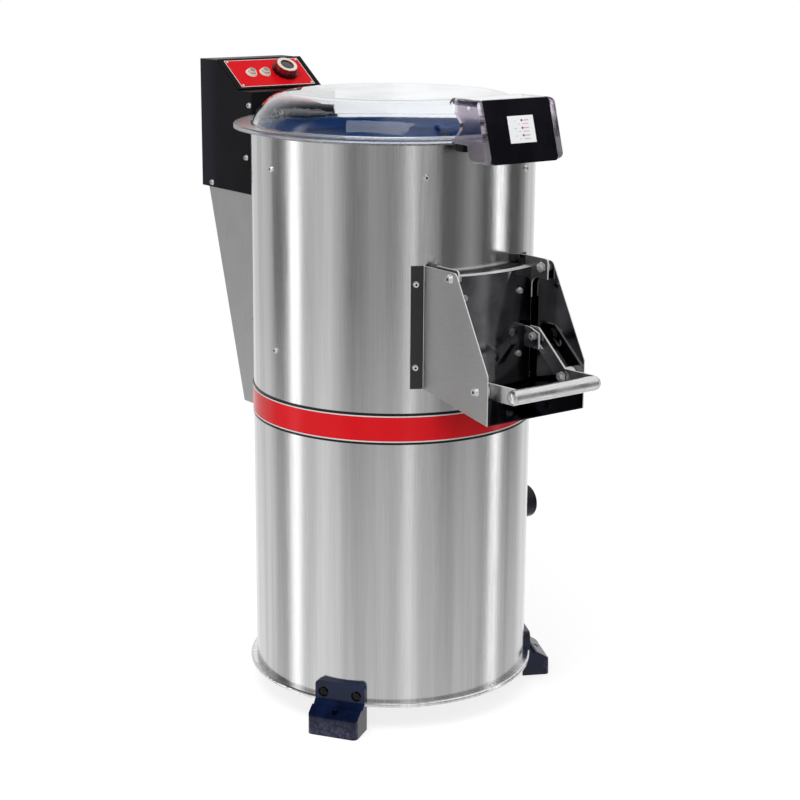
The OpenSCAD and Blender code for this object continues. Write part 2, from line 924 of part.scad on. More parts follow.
module box_profile(inset) {
    shift = inset * tan(panel_slope / 2);
    polygon([[-box_back + inset, box_bottom + inset], [-box_back + inset, box_top - inset],
        [-panel_top - shift, box_top - inset], [-panel_foot - shift, box_ledge - inset],
        [-box_front - inset, box_ledge - inset], [-box_front - inset, box_neck - inset],
        [-drum_r / 2, box_neck - inset], [-drum_r / 2, box_bottom + inset]]);
}

duct_bolt = [box_front + 11, seam_z + 95];
side_bolts = [[box_front + 8, drum_top + 16], [box_front + 21, drum_top - 86],
    [box_back - 38, box_bottom + 9]];
duct_top_back = box_back - duct_inset;
duct_low_back = drum_r + duct_low_depth;

module control_box() {
    inner = box_half_w - box_wall;
    color([0.09, 0.09, 0.1])
        difference() {
            across(-box_half_w, box_half_w) box_profile(0);
            across(-inner, inner) box_profile(box_wall);
            translate([-inner, box_back - box_wall - 1, box_bottom + box_wall])
                cube([2 * inner, far, box_top - box_bottom - 2 * box_wall]);
            drum_space();
            on_panel(knob_x) cylinder(r = 6, h = 40, center = true, $fn = small_fn);
            on_panel(start_x) cylinder(r = button_r + 2, h = 40, center = true);
            on_panel(stop_x) cylinder(r = button_r + 2, h = 40, center = true);
            translate([-duct_half_w + 20, panel_foot, box_bottom - 1]) cube([2 * duct_half_w - 40, 60, 20]);
            for (b = side_bolts)
                sideways(-far, -b[0], b[1]) cylinder(r = screw_r + fit, h = 2 * far, $fn = small_fn);
        }
}

gland_z = box_bottom + 45;
gland_x = box_half_w - 36;

module box_cover() {
    inner = box_half_w - box_wall - seat;
    color([0.12, 0.12, 0.13])
        difference() {
            translate([-inner, box_back - box_wall, box_bottom + box_wall + seat])
                cube([2 * inner, box_wall, box_top - box_bottom - 2 * box_wall - 2 * seat]);
            translate([gland_x, box_back - 20, gland_z]) rotate([-90, 0, 0]) cylinder(r = 8 + fit, h = 40);
            for (z = [box_top - 60 : 12 : box_top - 24])
                translate([-40, box_back - 20, z]) cube([80, 40, 4]);
        }
}

module cable_gland() {
    color("black")
        translate([gland_x, box_back, gland_z])
            rotate([-90, 0, 0])
                difference() {
                    union() {
                        translate([0, 0, -box_wall - 7]) cylinder(r = 8, h = box_wall + 10);
                        translate([0, 0, -box_wall - 6]) hex_head(22, 6 - seat);
                        translate([0, 0, seat]) hex_head(22, 7);
                        translate([0, 0, 7]) cylinder(r1 = 10, r2 = 7.5, h = 13);
                    }
                    translate([0, 0, -20]) cylinder(r = 4.5, h = 60);
                }
}

module fascia() {
    half_l = panel_l / 2 - 1;
    color("firebrick")
        difference() {
            on_panel() translate([-box_half_w, -half_l, seat]) cube([2 * box_half_w, 2 * half_l, fascia_t]);
            on_panel(knob_x) cylinder(r = 6, h = 40, center = true, $fn = small_fn);
            on_panel(start_x) cylinder(r = button_r + 2 + fit, h = 40, center = true);
            on_panel(stop_x) cylinder(r = button_r + 2 + fit, h = 40, center = true);
        }
}

bezel_h = 3;

module button_bezels() {
    color("silver")
        for (x = [start_x, stop_x])
            on_panel(x, 0, seat + fascia_t)
                difference() {
                    union() {
                        cylinder(r1 = button_r + 4, r2 = button_r + 2.5, h = bezel_h);
                        translate([0, 0, -fascia_t - box_wall - seat])
                            cylinder(r = button_r + 2 - fit, h = 8);
                    }
                    translate([0, 0, -20]) cylinder(r = button_r + 0.3, h = 40);
                }
}

module push_button(x) {
    on_panel(x, 0, seat + fascia_t) {
        translate([0, 0, -box_wall - fascia_t])
            cylinder(r = button_r, h = box_wall + fascia_t + bezel_h + button_h - 1);
        translate([0, 0, bezel_h + button_h - 1]) cylinder(r1 = button_r, r2 = button_r - 1, h = 1);
        translate([0, 0, -box_wall - fascia_t - 8]) cylinder(r = 3, h = 9, $fn = small_fn);
    }
}

module start_button() {
    color("gainsboro") push_button(start_x);
}

module stop_button() {
    color("gainsboro") push_button(stop_x);
}

module switch_block() {
    mid = (start_x + stop_x) / 2;
    color("dimgray")
        on_panel(mid, 0, -box_wall - 50)
            difference() {
                union() {
                    translate([-30, -18, 0]) cube([60, 36, 40]);
                    for (y = [-18, 13])
                        translate([-30, y, 38]) cube([60, 5, 12 - seat]);
                }
                for (x = [start_x, stop_x])
                    translate([x - mid, 0, 26]) cylinder(r = 3.3, h = 20, $fn = small_fn);
            }
}

module timer_body() {
    color("ivory")
        on_panel(knob_x, 0, -box_wall - 44)
            difference() {
                union() {
                    translate([-24, -24, 0]) cube([48, 48, 34]);
                    translate([0, 0, 34]) cylinder(r = 9, h = 10 - seat);
                }
                translate([0, 0, 20]) cylinder(r = 3 + fit, h = 40, $fn = small_fn);
            }
}

// A round outline with twelve finger notches
module lobed(radius, depth) {
    notch_r = 4;
    difference() {
        circle(r = radius);
        for (a = [0:30:330])
            rotate([0, 0, a]) translate([radius + notch_r - depth, 0]) circle(r = notch_r, $fn = small_fn);
    }
}

module timer_knob() {
    skirt_h = 6;
    upper_r = knob_r - 3.5;
    dish_r = knob_r - 12;
    color([0.08, 0.08, 0.08])
        on_panel(knob_x, 0, seat + fascia_t + 0.8)
            difference() {
                union() {
                    linear_extrude(skirt_h) lobed(knob_r, 1.6);
                    linear_extrude(knob_h) lobed(upper_r, 1.4);
                    translate([0, 0, -24]) cylinder(r = 3, h = 25, $fn = small_fn);
                }
                translate([0, 0, knob_h - 2.5]) cylinder(r = dish_r, h = 3);
            }
}

module box_screws() {
    color("silver") {
        for (b = side_bolts)
            for (side = [-1, 1])
                translate([side * (box_half_w + seat / 2), b[0], b[1]])
                    rotate([0, side * 90, 0]) pan_screw(box_wall + 4);
        for (side = [-1, 1])
            translate([side * (duct_half_w + seat / 2), duct_bolt[0], duct_bolt[1]])
                rotate([0, side * 90, 0]) pan_screw(sheet + 3);
    }
}

module rear_duct() {
    inner = duct_half_w - sheet;
    low = seam_z - duct_drop;
    top = box_bottom - seat;
    lean = atan2(duct_top_back - duct_low_back, top - low);
    back_shift = sheet / cos(lean);
    color("silver")
        difference() {
            across(-duct_half_w, duct_half_w)
                polygon([[-duct_top_back, top], [-duct_low_back, low],
                    [-drum_r / 2, low], [-drum_r / 2, top]]);
            across(-inner, inner)
                polygon([[-duct_top_back + back_shift, top + 1], [-duct_low_back + back_shift, low + sheet],
                    [-drum_r / 4, low + sheet], [-drum_r / 4, top + 1]]);
            drum_space(seat + band_t + seat);
            for (side = [-1, 1])
                sideways(-far, -duct_bolt[0], duct_bolt[1])
                    cylinder(r = screw_r + fit, h = 2 * far, $fn = small_fn);
        }
}

// ---------- chute ----------

corner_y = door_hinge_y + 8;
slant = atan2(lip_reach - corner_y - 11, door_hinge_z - lip_z - front_edge_h);
floor_drop = floor_rise / (lip_reach - drum_r + 22);

module plate_profile() {
    corner_z = door_hinge_z;
    edge = [cos(slant), sin(slant)];
    difference() {
        union() {
            polygon([[drum_r / 2, lip_z + floor_drop * (lip_reach - drum_r / 2)],
                [lip_reach, lip_z], [lip_reach, lip_z + front_edge_h],
                [corner_y + top_over_hinge * edge[0], corner_z + top_over_hinge * edge[1]],
                [corner_y, corner_z + top_over_hinge], [drum_r / 2, corner_z + top_over_hinge]]);
            translate([corner_y, corner_z]) circle(r = top_over_hinge);
        }
        translate([door_hinge_y, door_hinge_z]) circle(r = hinge_bolt_r + fit, $fn = small_fn);
        translate([bail_pivot_y, bail_pivot_z]) circle(r = hinge_bolt_r + fit, $fn = small_fn);
    }
}

// One side plate, drawn on the +X side, with its flange folded along the drum
module chute_plate() {
    start = asin(plate_out / drum_r) - 0.4;
    high = door_hinge_z + top_over_hinge;
    difference() {
        union() {
            across(plate_in, plate_out) plate_profile();
            rotate([0, 0, -90 + start])
                rotate_extrude(angle = chute_flange_angle)
                    translate([drum_r + seat, floor_z]) square([chute_t, high - floor_z]);
        }
        drum_space();
        each_flange_screw(drum_r - 20) cylinder(r = screw_r + fit, h = 40, $fn = small_fn);
    }
}

module chute_right() {
    color("silver") chute_plate();
}

module chute_left() {
    color("silver") mirror([1, 0, 0]) chute_plate();
}

module chute_floor() {
    start = drum_r / 2;
    start_z = lip_z + floor_drop * (lip_reach - start);
    half = plate_in - seat;
    color("silver")
        difference() {
            across(-half, half)
                polygon([[start, start_z], [lip_reach, lip_z],
                    [lip_reach, lip_z + chute_t], [start, start_z + chute_t]]);
            drum_space();
        }
}

module door_hinge_bolts() {
    color("silver") each_pivot_bolt(door_hinge_y, door_hinge_z, door_half_w - 1);
}

module bail_pivot_bolts() {
    color("silver") each_pivot_bolt(bail_pivot_y, bail_pivot_z, arm_in - 1);
}

// A pair of pivot bolts: a domed head outside the plate, a nut on the inner end
module each_pivot_bolt(y, z, nut_face) {
    head = plate_out + seat;
    nut_h = 6;
    for (side = [0, 1])
        mirror([side, 0, 0]) {
            sideways(nut_face - nut_h - 3, y, z)
                cylinder(r = hinge_bolt_r, h = head - nut_face + nut_h + 3, $fn = 48);
            sideways(nut_face - nut_h - seat, y, z) hex_head(16, nut_h);
            sideways(head, y, z) cylinder(r1 = 9, r2 = 6, h = 6, $fn = 48);
        }
}

module pivot_spacers() {
    color("white")
        for (side = [0, 1])
            mirror([side, 0, 0]) {
                sideways(arm_out + seat / 2, bail_pivot_y, bail_pivot_z)
                    spacer(spacer_r, plate_in - arm_out - seat);
                sideways(door_half_w + ear_t + seat, door_hinge_y, door_hinge_z)
                    spacer(spacer_r, plate_in - door_half_w - ear_t - 2 * seat);
            }
}

module spacer(radius, length) {
    difference() {
        cylinder(r = radius, h = length, $fn = 48);
        translate([0, 0, -1]) cylinder(r = hinge_bolt_r + fit, h = length + 2, $fn = 48);
    }
}

// ---------- door ----------

ear_front = 12;
ear_over = 15;
ear_drop = 21;
fillet_r = 17;

module ear_profile() {
    corner = 6;
    high = door_hinge_z + ear_over;
    front = door_hinge_y + ear_front;
    low = door_hinge_z - ear_drop;
    back = drum_r + 2;
    root_y = sqrt(door_r * door_r - door_half_w * door_half_w) - 1;
    difference() {
        union() {
            translate([back, low]) square([front - back, high - low - corner]);
            translate([back, high - corner]) square([front - back - corner, corner]);
            translate([front - corner, high - corner]) circle(r = corner);
            translate([root_y - 8, low - fillet_r - 20]) square([8, fillet_r + 21]);
            translate([root_y - 1, low - fillet_r]) square([fillet_r + 1, fillet_r + 1]);
        }
        translate([root_y + fillet_r, low - fillet_r]) circle(r = fillet_r);
        translate([door_hinge_y, door_hinge_z]) circle(r = hinge_bolt_r + fit, $fn = small_fn);
    }
}

module bracket_profile() {
    low = link_z - 22;
    high = link_z + 14;
    polygon([[drum_r, low], [link_y + 12, low], [link_y + 12, high - 8], [link_y - 12, high],
        [drum_r, high]]);
}

door_screw_x = 62;

module each_door_screw(start) {
    for (x = [-door_screw_x, door_screw_x])
        for (z = [opening_z + 36, opening_top - 29])
            outward(start, z, x) children();
}

module door_skin() {
    wall = chute_t;
    color("silver")
        difference() {
            union() {
                difference() {
                    ring_front(door_back + seat, door_r, door_half_w, door_low, door_top);
                    ring_front(0.1, door_r - wall, door_half_w - wall, door_low + wall, door_top - wall);
                }
                ring_front(door_r - wall, door_r, door_half_w, door_low - door_lip_drop, door_low + wall);
                both_sides(door_half_w, door_half_w + ear_t) ear_profile();
                difference() {
                    both_sides(bracket_in, bracket_out)
                        difference() {
                            bracket_profile();
                            translate([link_y, link_z]) circle(r = link_bolt_r + fit, $fn = small_fn);
                        }
                    cylinder(r = door_r - wall / 2, h = 2 * far);
                }
            }
            each_door_screw(drum_r) cylinder(r = screw_r + fit, h = 60, $fn = small_fn);
        }
}

module door_liner() {
    color("gainsboro")
        difference() {
            ring_front(gasket_out + seat, door_back, door_half_w, door_low, door_top);
            each_door_screw(drum_r - 20) cylinder(r = screw_r + fit, h = 60, $fn = small_fn);
        }
}

module door_gasket() {
    color("black")
        difference() {
            ring_front(gasket_in, gasket_out, opening_half_w + gasket_w, door_low, door_top);
            discharge_cut();
        }
}

module door_screws() {
    color("silver")
        each_door_screw(0)
            translate([0, 0, sqrt(pow(door_r, 2) - pow(door_screw_x, 2)) + 1.4])
                pan_screw(door_r - gasket_out - 2);
}

module link_bolts() {
    inner = bracket_in - 8;
    color("silver")
        for (side = [0, 1])
            mirror([side, 0, 0]) {
                sideways(inner, link_y, link_z) cylinder(r = link_bolt_r, h = arm_out + 5 - inner, $fn = 48);
                sideways(bracket_in - 6 - seat, link_y, link_z) hex_head(13, 6);
                sideways(arm_out + 0.5, link_y, link_z) cylinder(r = 10, h = 1.6, $fn = 48);
                sideways(arm_out + 2.1, link_y, link_z) hex_head(13, 4);
            }
}

// ---------- discharge handle ----------

module bar(from, angle, length, width) {
    translate(from) rotate([0, 0, angle]) translate([0, -width / 2]) square([length, width]);
}

module arm_profile() {
    pivot = [bail_pivot_y, bail_pivot_z];
    half = link_bolt_r + link_play;
    difference() {
        union() {
            intersection() {
                bar(pivot, link_angle, link_length + 24, arm_w);
                translate([link_y - 20, 0]) square([far, link_z + 15]);
            }
            translate(pivot) circle(r = arm_w / 2 + 0.5);
            bar(pivot, tube_angle, tube_length, arm_w);
        }
        translate([tube_y, tube_z]) circle(r = tube_r + fit);
        translate(pivot) circle(r = hinge_bolt_r + fit, $fn = 48);
        translate(pivot)
            rotate([0, 0, link_angle])
                translate([link_length - link_slot_l / 2 + link_play, slot_shift]) {
                    translate([-link_slot_l / 2, 0]) circle(r = half + 0.1);
                    translate([link_slot_l / 2 - link_play, 0]) circle(r = half + 0.1);
                    translate([-link_slot_l / 2, -half]) square([link_slot_l - link_play, 2 * half]);
                }
    }
}

module bail_arms() {
    color("silver") both_sides(arm_in, arm_out) arm_profile();
}

module bail_tube() {
    nose = tube_r - 4;
    color("silver")
        for (side = [0, 1])
            mirror([side, 0, 0])
                sideways(0, tube_y, tube_z) {
                    cylinder(r = tube_r, h = tube_half_l - nose);
                    translate([0, 0, tube_half_l - nose])
                        rotate_extrude()
                            intersection() {
                                union() {
                                    square([tube_r - nose, nose]);
                                    translate([tube_r - nose, 0]) circle(r = nose);
                                }
                                square([tube_r, nose]);
                            }
                }
}

// ---------- lid ----------

dome_arc = (pow(dome_base_r - dome_flat_r, 2) + dome_h * dome_h) / (2 * dome_h);

// Half section of the dome: a flat top and a round shoulder down to the flange
module dome_section(inset) {
    shoulder = dome_z + dome_h - dome_arc;
    intersection() {
        union() {
            translate([0, lid_z - inset]) square([dome_flat_r, dome_z + dome_h - lid_z]);
            translate([dome_flat_r, shoulder]) circle(r = dome_arc - inset, $fn = 180);
        }
        translate([0, lid_z - inset]) square([dome_base_r - inset, far]);
    }
}

grip_top_reach = lid_r + grip_top_over;
grip_low_reach = lid_r + grip_low_over;
grip_top_z = drum_top + grip_top_rise;
grip_low_z = drum_top - grip_low_drop;
grip_lean = atan2(grip_low_reach - grip_top_reach, grip_top_z - grip_low_z);
grip_panel_d = grip_panel_t / cos(grip_lean);
cheek_out = grip_half_w + cheek_t;

// Side profile of a cheek: it stands on the lid's flange and hangs down in front of the rim
module cheek_profile() {
    rear = grip_top_reach - grip_top_depth;
    r = cheek_corner_r;
    root = lid_r - 20;      // rear end of the cheek's foot on the flange
    web_r = 12;             // hollow corner between the flange and the top
    web = [lid_r - 3, dome_z + web_r + 10];
    top_corner = [grip_top_reach - r * (1 - sin(grip_lean)) / cos(grip_lean), grip_top_z - r];
    low_corner = [grip_low_reach - r * (1 + sin(grip_lean)) / cos(grip_lean), grip_low_z + r];
    low_rear = grip_low_reach - cheek_low_depth;
    polygon(concat([[root, lid_z], [low_rear - r, lid_z], [low_rear, grip_low_z]],
        arc(low_corner, r, -90, grip_lean), arc(top_corner, r, grip_lean, 90),
        [[rear, grip_top_z], [rear - 1, grip_top_z - 2 * grip_top_t]],
        arc(web, web_r, 60, -45), [[web[0] - 3, dome_z], [root, dome_z]]));
}

// The handle from the front, with rounded outer corners
module grip_face(half, radius) {
    low = grip_low_z + radius;
    high = grip_top_z - radius;
    polygon(concat(arc([half - radius, low], radius, -90, 0), arc([half - radius, high], radius, 0, 90),
        arc([-half + radius, high], radius, 90, 180), arc([-half + radius, low], radius, 180, 270)));
}

module grip_hollow() {
    back = grip_top_reach - grip_panel_d - seat;
    polygon([[0, 0], [0, grip_top_z - grip_top_t], [back, grip_top_z - grip_top_t],
        [back, far * 2], [far, far * 2], [far, 0]]);
}

module lid_dome() {
    color([0.85, 0.9, 0.95, 0.4])
        difference() {
            union() {
                rotate_extrude() {
                    dome_section(0);
                    translate([0, lid_z]) square([lid_r - 3, lid_flange_t]);
                    translate([lid_r - 3, lid_z]) square([3, lid_flange_t - 2]);
                    translate([lid_r - 3, lid_z + lid_flange_t - 3]) circle(r = 3, $fn = small_fn);
                }
                intersection() {
                    difference() {
                        across(-cheek_out, cheek_out) cheek_profile();
                        across(-grip_half_w, grip_half_w) grip_hollow();
                    }
                    outward(0, 0) linear_extrude(far) grip_face(cheek_out, cheek_corner_r);
                }
            }
            rotate_extrude() dome_section(dome_wall);
        }
}

module handle_panel() {
    half = grip_half_w - seat;
    color([0.07, 0.07, 0.08])
        intersection() {
            across(-half, half)
                polygon([[grip_top_reach, grip_top_z], [grip_low_reach, grip_low_z],
                    [grip_low_reach - grip_panel_d, grip_low_z],
                    [grip_top_reach - grip_panel_d, grip_top_z]]);
            outward(0, 0) linear_extrude(far) grip_face(half, cheek_corner_r - 3);
        }
}

module hinge_leaf() {
    half = hinge_half_w - 5.5;
    color("silver")
        difference() {
            union() {
                across(-half, half) translate([-lid_hinge_back, hinge_z]) circle(r = knuckle_r);
                across(-half, half)
                    translate([-lid_hinge_back, dome_z + seat])
                        square([lid_hinge_back - dome_base_r - 4, hinge_leaf_t - seat]);
            }
            sideways(-far, -lid_hinge_back, hinge_z) cylinder(r = hinge_pin_r + fit, h = 2 * far);
            cylinder(r = dome_base_r + 1, h = 2 * far);
        }
}

module hinge_bracket() {
    face = box_front - seat;
    foot_t = 4;
    color("silver")
        difference() {
            union() {
                translate([-hinge_half_w - 8, face - foot_t, hinge_z - hinge_plate_h / 2])
                    cube([2 * hinge_half_w + 16, foot_t, hinge_plate_h]);
                both_sides(hinge_half_w - 5, hinge_half_w) {
                    translate([-lid_hinge_back, hinge_z]) circle(r = knuckle_r + 1.5);
                    translate([-face + 1, hinge_z - knuckle_r - 1.5])
                        square([face - lid_hinge_back - 1, 2 * knuckle_r + 3]);
                }
            }
            sideways(-far, -lid_hinge_back, hinge_z) cylinder(r = hinge_pin_r + fit, h = 2 * far);
        }
}

module hinge_pin() {
    color("silver")
        sideways(-hinge_half_w - 3, -lid_hinge_back, hinge_z) {
            cylinder(r = hinge_pin_r, h = 2 * hinge_half_w + 6);
            translate([0, 0, -2]) cylinder(r = hinge_pin_r + 2, h = 2.8);
        }
}

switch_angle = -9.5;
switch_w = 24;
switch_depth = 22;
switch_top = drum_top - 4;
switch_low = drum_top - 17;
switch_screw_r = 2;
switch_screw_l = 10;
switch_screw_z = (switch_low + switch_top) / 2;
magnet_t = 3.5;

module lid_switch() {
    notch_y = bead_out + 1;
    notch_z = drum_top - rim_bead_h - 1;
    front = drum_r + switch_depth;
    color("black")
        at_angle(switch_angle)
            difference() {
                across(-switch_w / 2, switch_w / 2)
                    polygon([[drum_r - 5, switch_low], [front, switch_low], [front, switch_top],
                        [notch_y, switch_top], [notch_y, notch_z], [drum_r - 5, notch_z]]);
                drum_space();
                outward(front - switch_screw_l - 1, switch_screw_z)
                    cylinder(r = switch_screw_r + fit, h = far, $fn = small_fn);
            }
}

module lid_magnet() {
    start = bead_out + 1;
    color("black")
        at_angle(switch_angle)
            translate([-switch_w / 2 + 1, -drum_r - switch_depth, drum_top - magnet_t])
                cube([switch_w - 2, drum_r + switch_depth - start, magnet_t]);
}

module drum_screws() {
    color("silver") {
        each_drum_screw(drum_r + seat / 2) pan_screw(sheet + seat / 2);
        each_flange_screw(drum_r + seat + chute_t + 0.1) pan_screw(sheet + chute_t + seat);
        at_angle(switch_angle)
            outward(drum_r + switch_depth + seat / 2, switch_screw_z) {
                cylinder(r = 2 * switch_screw_r, h = 2, $fn = small_fn);
                translate([0, 0, -switch_screw_l])
                    cylinder(r = switch_screw_r, h = switch_screw_l, $fn = small_fn);
            }
    }
}

upper_drum();
lower_drum();
rim_bead();
rim_seal();
base_bead();
trim_band();
abrasive_liner();
chamber_pan();
bearing_housing();
bearings();
shaft_seal();
drain_elbow();
drain_spigot();
motor_body();
motor_plate();
drive_belt();
base_plate();
feet();
foot_bolts();
control_box();
box_cover();
fascia();
button_bezels();
box_screws();
rear_duct();
timer_body();
switch_block();
cable_gland();
water_inlet();
chute_left();
chute_right();
chute_floor();
door_hinge_bolts();
bail_pivot_bolts();
pivot_spacers();
hinge_bracket();
hinge_pin();
lid_switch();
drum_screws();
lid_dome();
handle_panel();
hinge_leaf();
lid_magnet();
abrasive_disc();
main_shaft();
disc_nut();
driven_pulley();
motor_shaft();
motor_pulley();
door_skin();
door_liner();
door_gasket();
link_bolts();
door_screws();
bail_arms();
bail_tube();
timer_knob();
start_button();
stop_button();
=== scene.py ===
# %% [markdown]
# # Drum potato peeler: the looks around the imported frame
#
# The frame holds every rigid piece at its true size. This lesson dresses it: brushed sheet,
# polished folded sheet, clear moulded lid, black plastic, printed panel, grit, and the small
# trim that is too fine for the solids. Everything is in metres, Z up, the chute faces -Y.

# %% Load the frame
import math

import bmesh
import bpy
from mathutils import Matrix, Vector


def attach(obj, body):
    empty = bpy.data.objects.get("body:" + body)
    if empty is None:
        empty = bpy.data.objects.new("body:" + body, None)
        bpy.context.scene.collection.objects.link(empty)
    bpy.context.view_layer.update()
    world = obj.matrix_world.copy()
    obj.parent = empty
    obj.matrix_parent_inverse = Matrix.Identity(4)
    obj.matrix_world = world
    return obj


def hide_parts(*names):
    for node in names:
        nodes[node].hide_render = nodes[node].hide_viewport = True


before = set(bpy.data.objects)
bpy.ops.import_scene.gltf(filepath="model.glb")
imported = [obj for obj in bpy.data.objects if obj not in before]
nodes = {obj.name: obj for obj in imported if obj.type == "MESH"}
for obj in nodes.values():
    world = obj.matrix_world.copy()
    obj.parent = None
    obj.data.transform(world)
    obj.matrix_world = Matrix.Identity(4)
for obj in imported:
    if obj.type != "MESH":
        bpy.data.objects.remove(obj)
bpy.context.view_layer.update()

scene = bpy.context.scene

# %% [markdown]
# ## Camera
#
# A long lens from the front left, a little above the lid. The place, the tilt and the small
# roll are one matrix: turn about Z, lean about X, then roll about the line of sight.

# %% Camera
CAMERA_AT = (-1.983, -2.680, 1.412)
CAMERA_TURN, CAMERA_DOWN, CAMERA_ROLL = -36.76, 14.37, 0.41
CAMERA_BEARING = math.degrees(math.atan2(CAMERA_AT[1], CAMERA_AT[0]))

camera_data = bpy.data.cameras.new("camera")
camera_data.lens = 81.8
camera_data.sensor_width = 36.0
camera = bpy.data.objects.new("camera", camera_data)
scene.collection.objects.link(camera)
camera.matrix_world = (Matrix.Translation(CAMERA_AT)
                       @ Matrix.Rotation(math.radians(CAMERA_TURN), 4, "Z")
                       @ Matrix.Rotation(math.radians(90 - CAMERA_DOWN), 4, "X")
                       @ Matrix.Rotation(math.radians(CAMERA_ROLL), 4, "Z"))
scene.camera = camera
scene.view_settings.view_transform = "Standard"
print("camera bearing", round(CAMERA_BEARING, 1))

# %% [markdown]
# ## Small node helpers
#
# Materials are wired in code, so a few helpers keep that short. One feeds a socket with a link
# or a plain value, one adds a node with its settings, and the rest name the sums that masks
# and patterns need. A mask is 1 where something holds and 0 elsewhere.

# %% Node helpers
MIX_INPUTS, MIX_RESULT = (0, 6, 7), 2  # factor, A and B of a colour mix, and its result


def feed(tree, socket, value):
    if isinstance(value, bpy.types.NodeSocket):
        tree.links.new(value, socket)
    else:
        socket.default_value = value


def add(tree, kind, settings=None, **sockets):
    node = tree.nodes.new(kind)
    for key, value in (settings or {}).items():
        setattr(node, key, value)
    for key, value in sockets.items():
        feed(tree, node.inputs[key.replace("_", " ")], value)
    return node


def maths(tree, operation, *values):
    node = add(tree, "ShaderNodeMath", {"operation": operation})
    for socket, value in zip(node.inputs, values):
        feed(tree, socket, value)
    return node.outputs[0]


def above(tree, value, limit):
    return maths(tree, "GREATER_THAN", value, limit)


def below(tree, value, limit):
    return maths(tree, "LESS_THAN", value, limit)


def both(tree, first, second):
    return maths(tree, "MULTIPLY", first, second)


def without(tree, mask):
    return maths(tree, "SUBTRACT", 1.0, mask)


def remap(tree, value, low, high, to_low=0.0, to_high=1.0, smooth=True):
    curve = {"interpolation_type": "SMOOTHSTEP" if smooth else "LINEAR"}
    return add(tree, "ShaderNodeMapRange", curve, Value=value, From_Min=low, From_Max=high,
               To_Min=to_low, To_Max=to_high).outputs["Result"]


def split(tree, vector):
    return add(tree, "ShaderNodeSeparateXYZ", Vector=vector).outputs


def combine(tree, **parts):
    return add(tree, "ShaderNodeCombineXYZ", **parts).outputs[0]


def length(tree, vector):
    return add(tree, "ShaderNodeVectorMath", {"operation": "LENGTH"}, Vector=vector).outputs["Value"]


def noise(tree, at, scale, detail, roughness, dimensions="3D"):
    return add(tree, "ShaderNodeTexNoise", {"noise_dimensions": dimensions},
               Vector=at, Scale=scale, Detail=detail, Roughness=roughness).outputs[0]


def bumped(tree, height, strength, distance, invert=False):
    return add(tree, "ShaderNodeBump", {"invert": invert},
               Height=height, Strength=strength, Distance=distance).outputs[0]


def rgb(red, green, blue):
    return (red, green, blue, 1.0)


def grey(level):
    return rgb(level, level, level)


def grey_from(tree, level, blue=1.0):
    """A grey of a level that varies, with its blue scaled."""
    return add(tree, "ShaderNodeCombineColor", Red=level, Green=level,
               Blue=maths(tree, "MULTIPLY", level, blue)).outputs[0]


def blend_colours(tree, factor, first, second, mode="MIX"):
    node = add(tree, "ShaderNodeMix", {"data_type": "RGBA", "blend_type": mode})
    for index, value in zip(MIX_INPUTS, (factor, first, second)):
        feed(tree, node.inputs[index], value)
    return node.outputs[MIX_RESULT]


# %% [markdown]
# ## Group: brushed grain
#
# Sheet steel is brushed by an abrasive belt, which leaves scratches far longer than they are
# wide. A noise stretched along the belt's run gives them. On a drum the run is upright and the
# scratches follow the wall, so the group first turns the place into a bearing round the axis.
# It puts out a coarse streak, a fine scratch and a normal.

# %% Brushed grain group
VALUE, VECTOR = "NodeSocketFloat", "NodeSocketVector"
STREAK_RISE, SCRATCH_RISE = 0.7, 9.0  # pattern cells to a metre of height


def group(name, inputs, outputs):
    """An empty node group, what it is given, and the sockets of its result."""
    tree = bpy.data.node_groups.new(name, "ShaderNodeTree")
    for label, kind, value in inputs:
        socket = tree.interface.new_socket(label, in_out="INPUT", socket_type=kind)
        if value is not None:
            socket.default_value = value
    for label, kind in outputs:
        tree.interface.new_socket(label, in_out="OUTPUT", socket_type=kind)
    given = tree.nodes.new("NodeGroupInput").outputs
    return tree, given, tree.nodes.new("NodeGroupOutput").inputs


def put_out(tree, result, **values):
    for label, value in values.items():
        tree.links.new(value, result[label])


def round_brushed_grain():
    tree, given, result = group(
        "Round brushed grain",
        [("Place", VECTOR, None), ("Streaks", VALUE, 9.0), ("Scratches", VALUE, 420.0),
         ("Depth", VALUE, 0.12)],
        [("Streak", VALUE), ("Scratch", VALUE), ("Normal", VECTOR)])
    x, y, z = split(tree, given["Place"])
    bearing = maths(tree, "ARCTAN2", x, maths(tree, "MULTIPLY", y, -1.0))
    coarse_at = combine(tree, X=maths(tree, "MULTIPLY", bearing, given["Streaks"]),
                        Y=maths(tree, "MULTIPLY", z, STREAK_RISE))
    fine_at = combine(tree, X=maths(tree, "MULTIPLY", bearing, given["Scratches"]),
                      Y=maths(tree, "MULTIPLY", z, SCRATCH_RISE))
    coarse = noise(tree, coarse_at, 1.0, 3.0, 0.45, "2D")
    fine = noise(tree, fine_at, 1.0, 2.0, 0.6, "2D")
    put_out(tree, result, Streak=coarse, Scratch=fine, Normal=bumped(tree, fine, given["Depth"], 0.0004))
    return tree


round_grain = round_brushed_grain()
print("made", round_grain.name)

# %% [markdown]
# ## Group: straight grain, handling marks and moulded grain
#
# Flat sheet has the same scratches along one direction, so its group takes a stretch for each
# axis. Handling marks are the faint cloudy patches that fingers and wiping leave in the gloss.
# Moulded grain is the fine spark-eroded texture of a plastic tool.

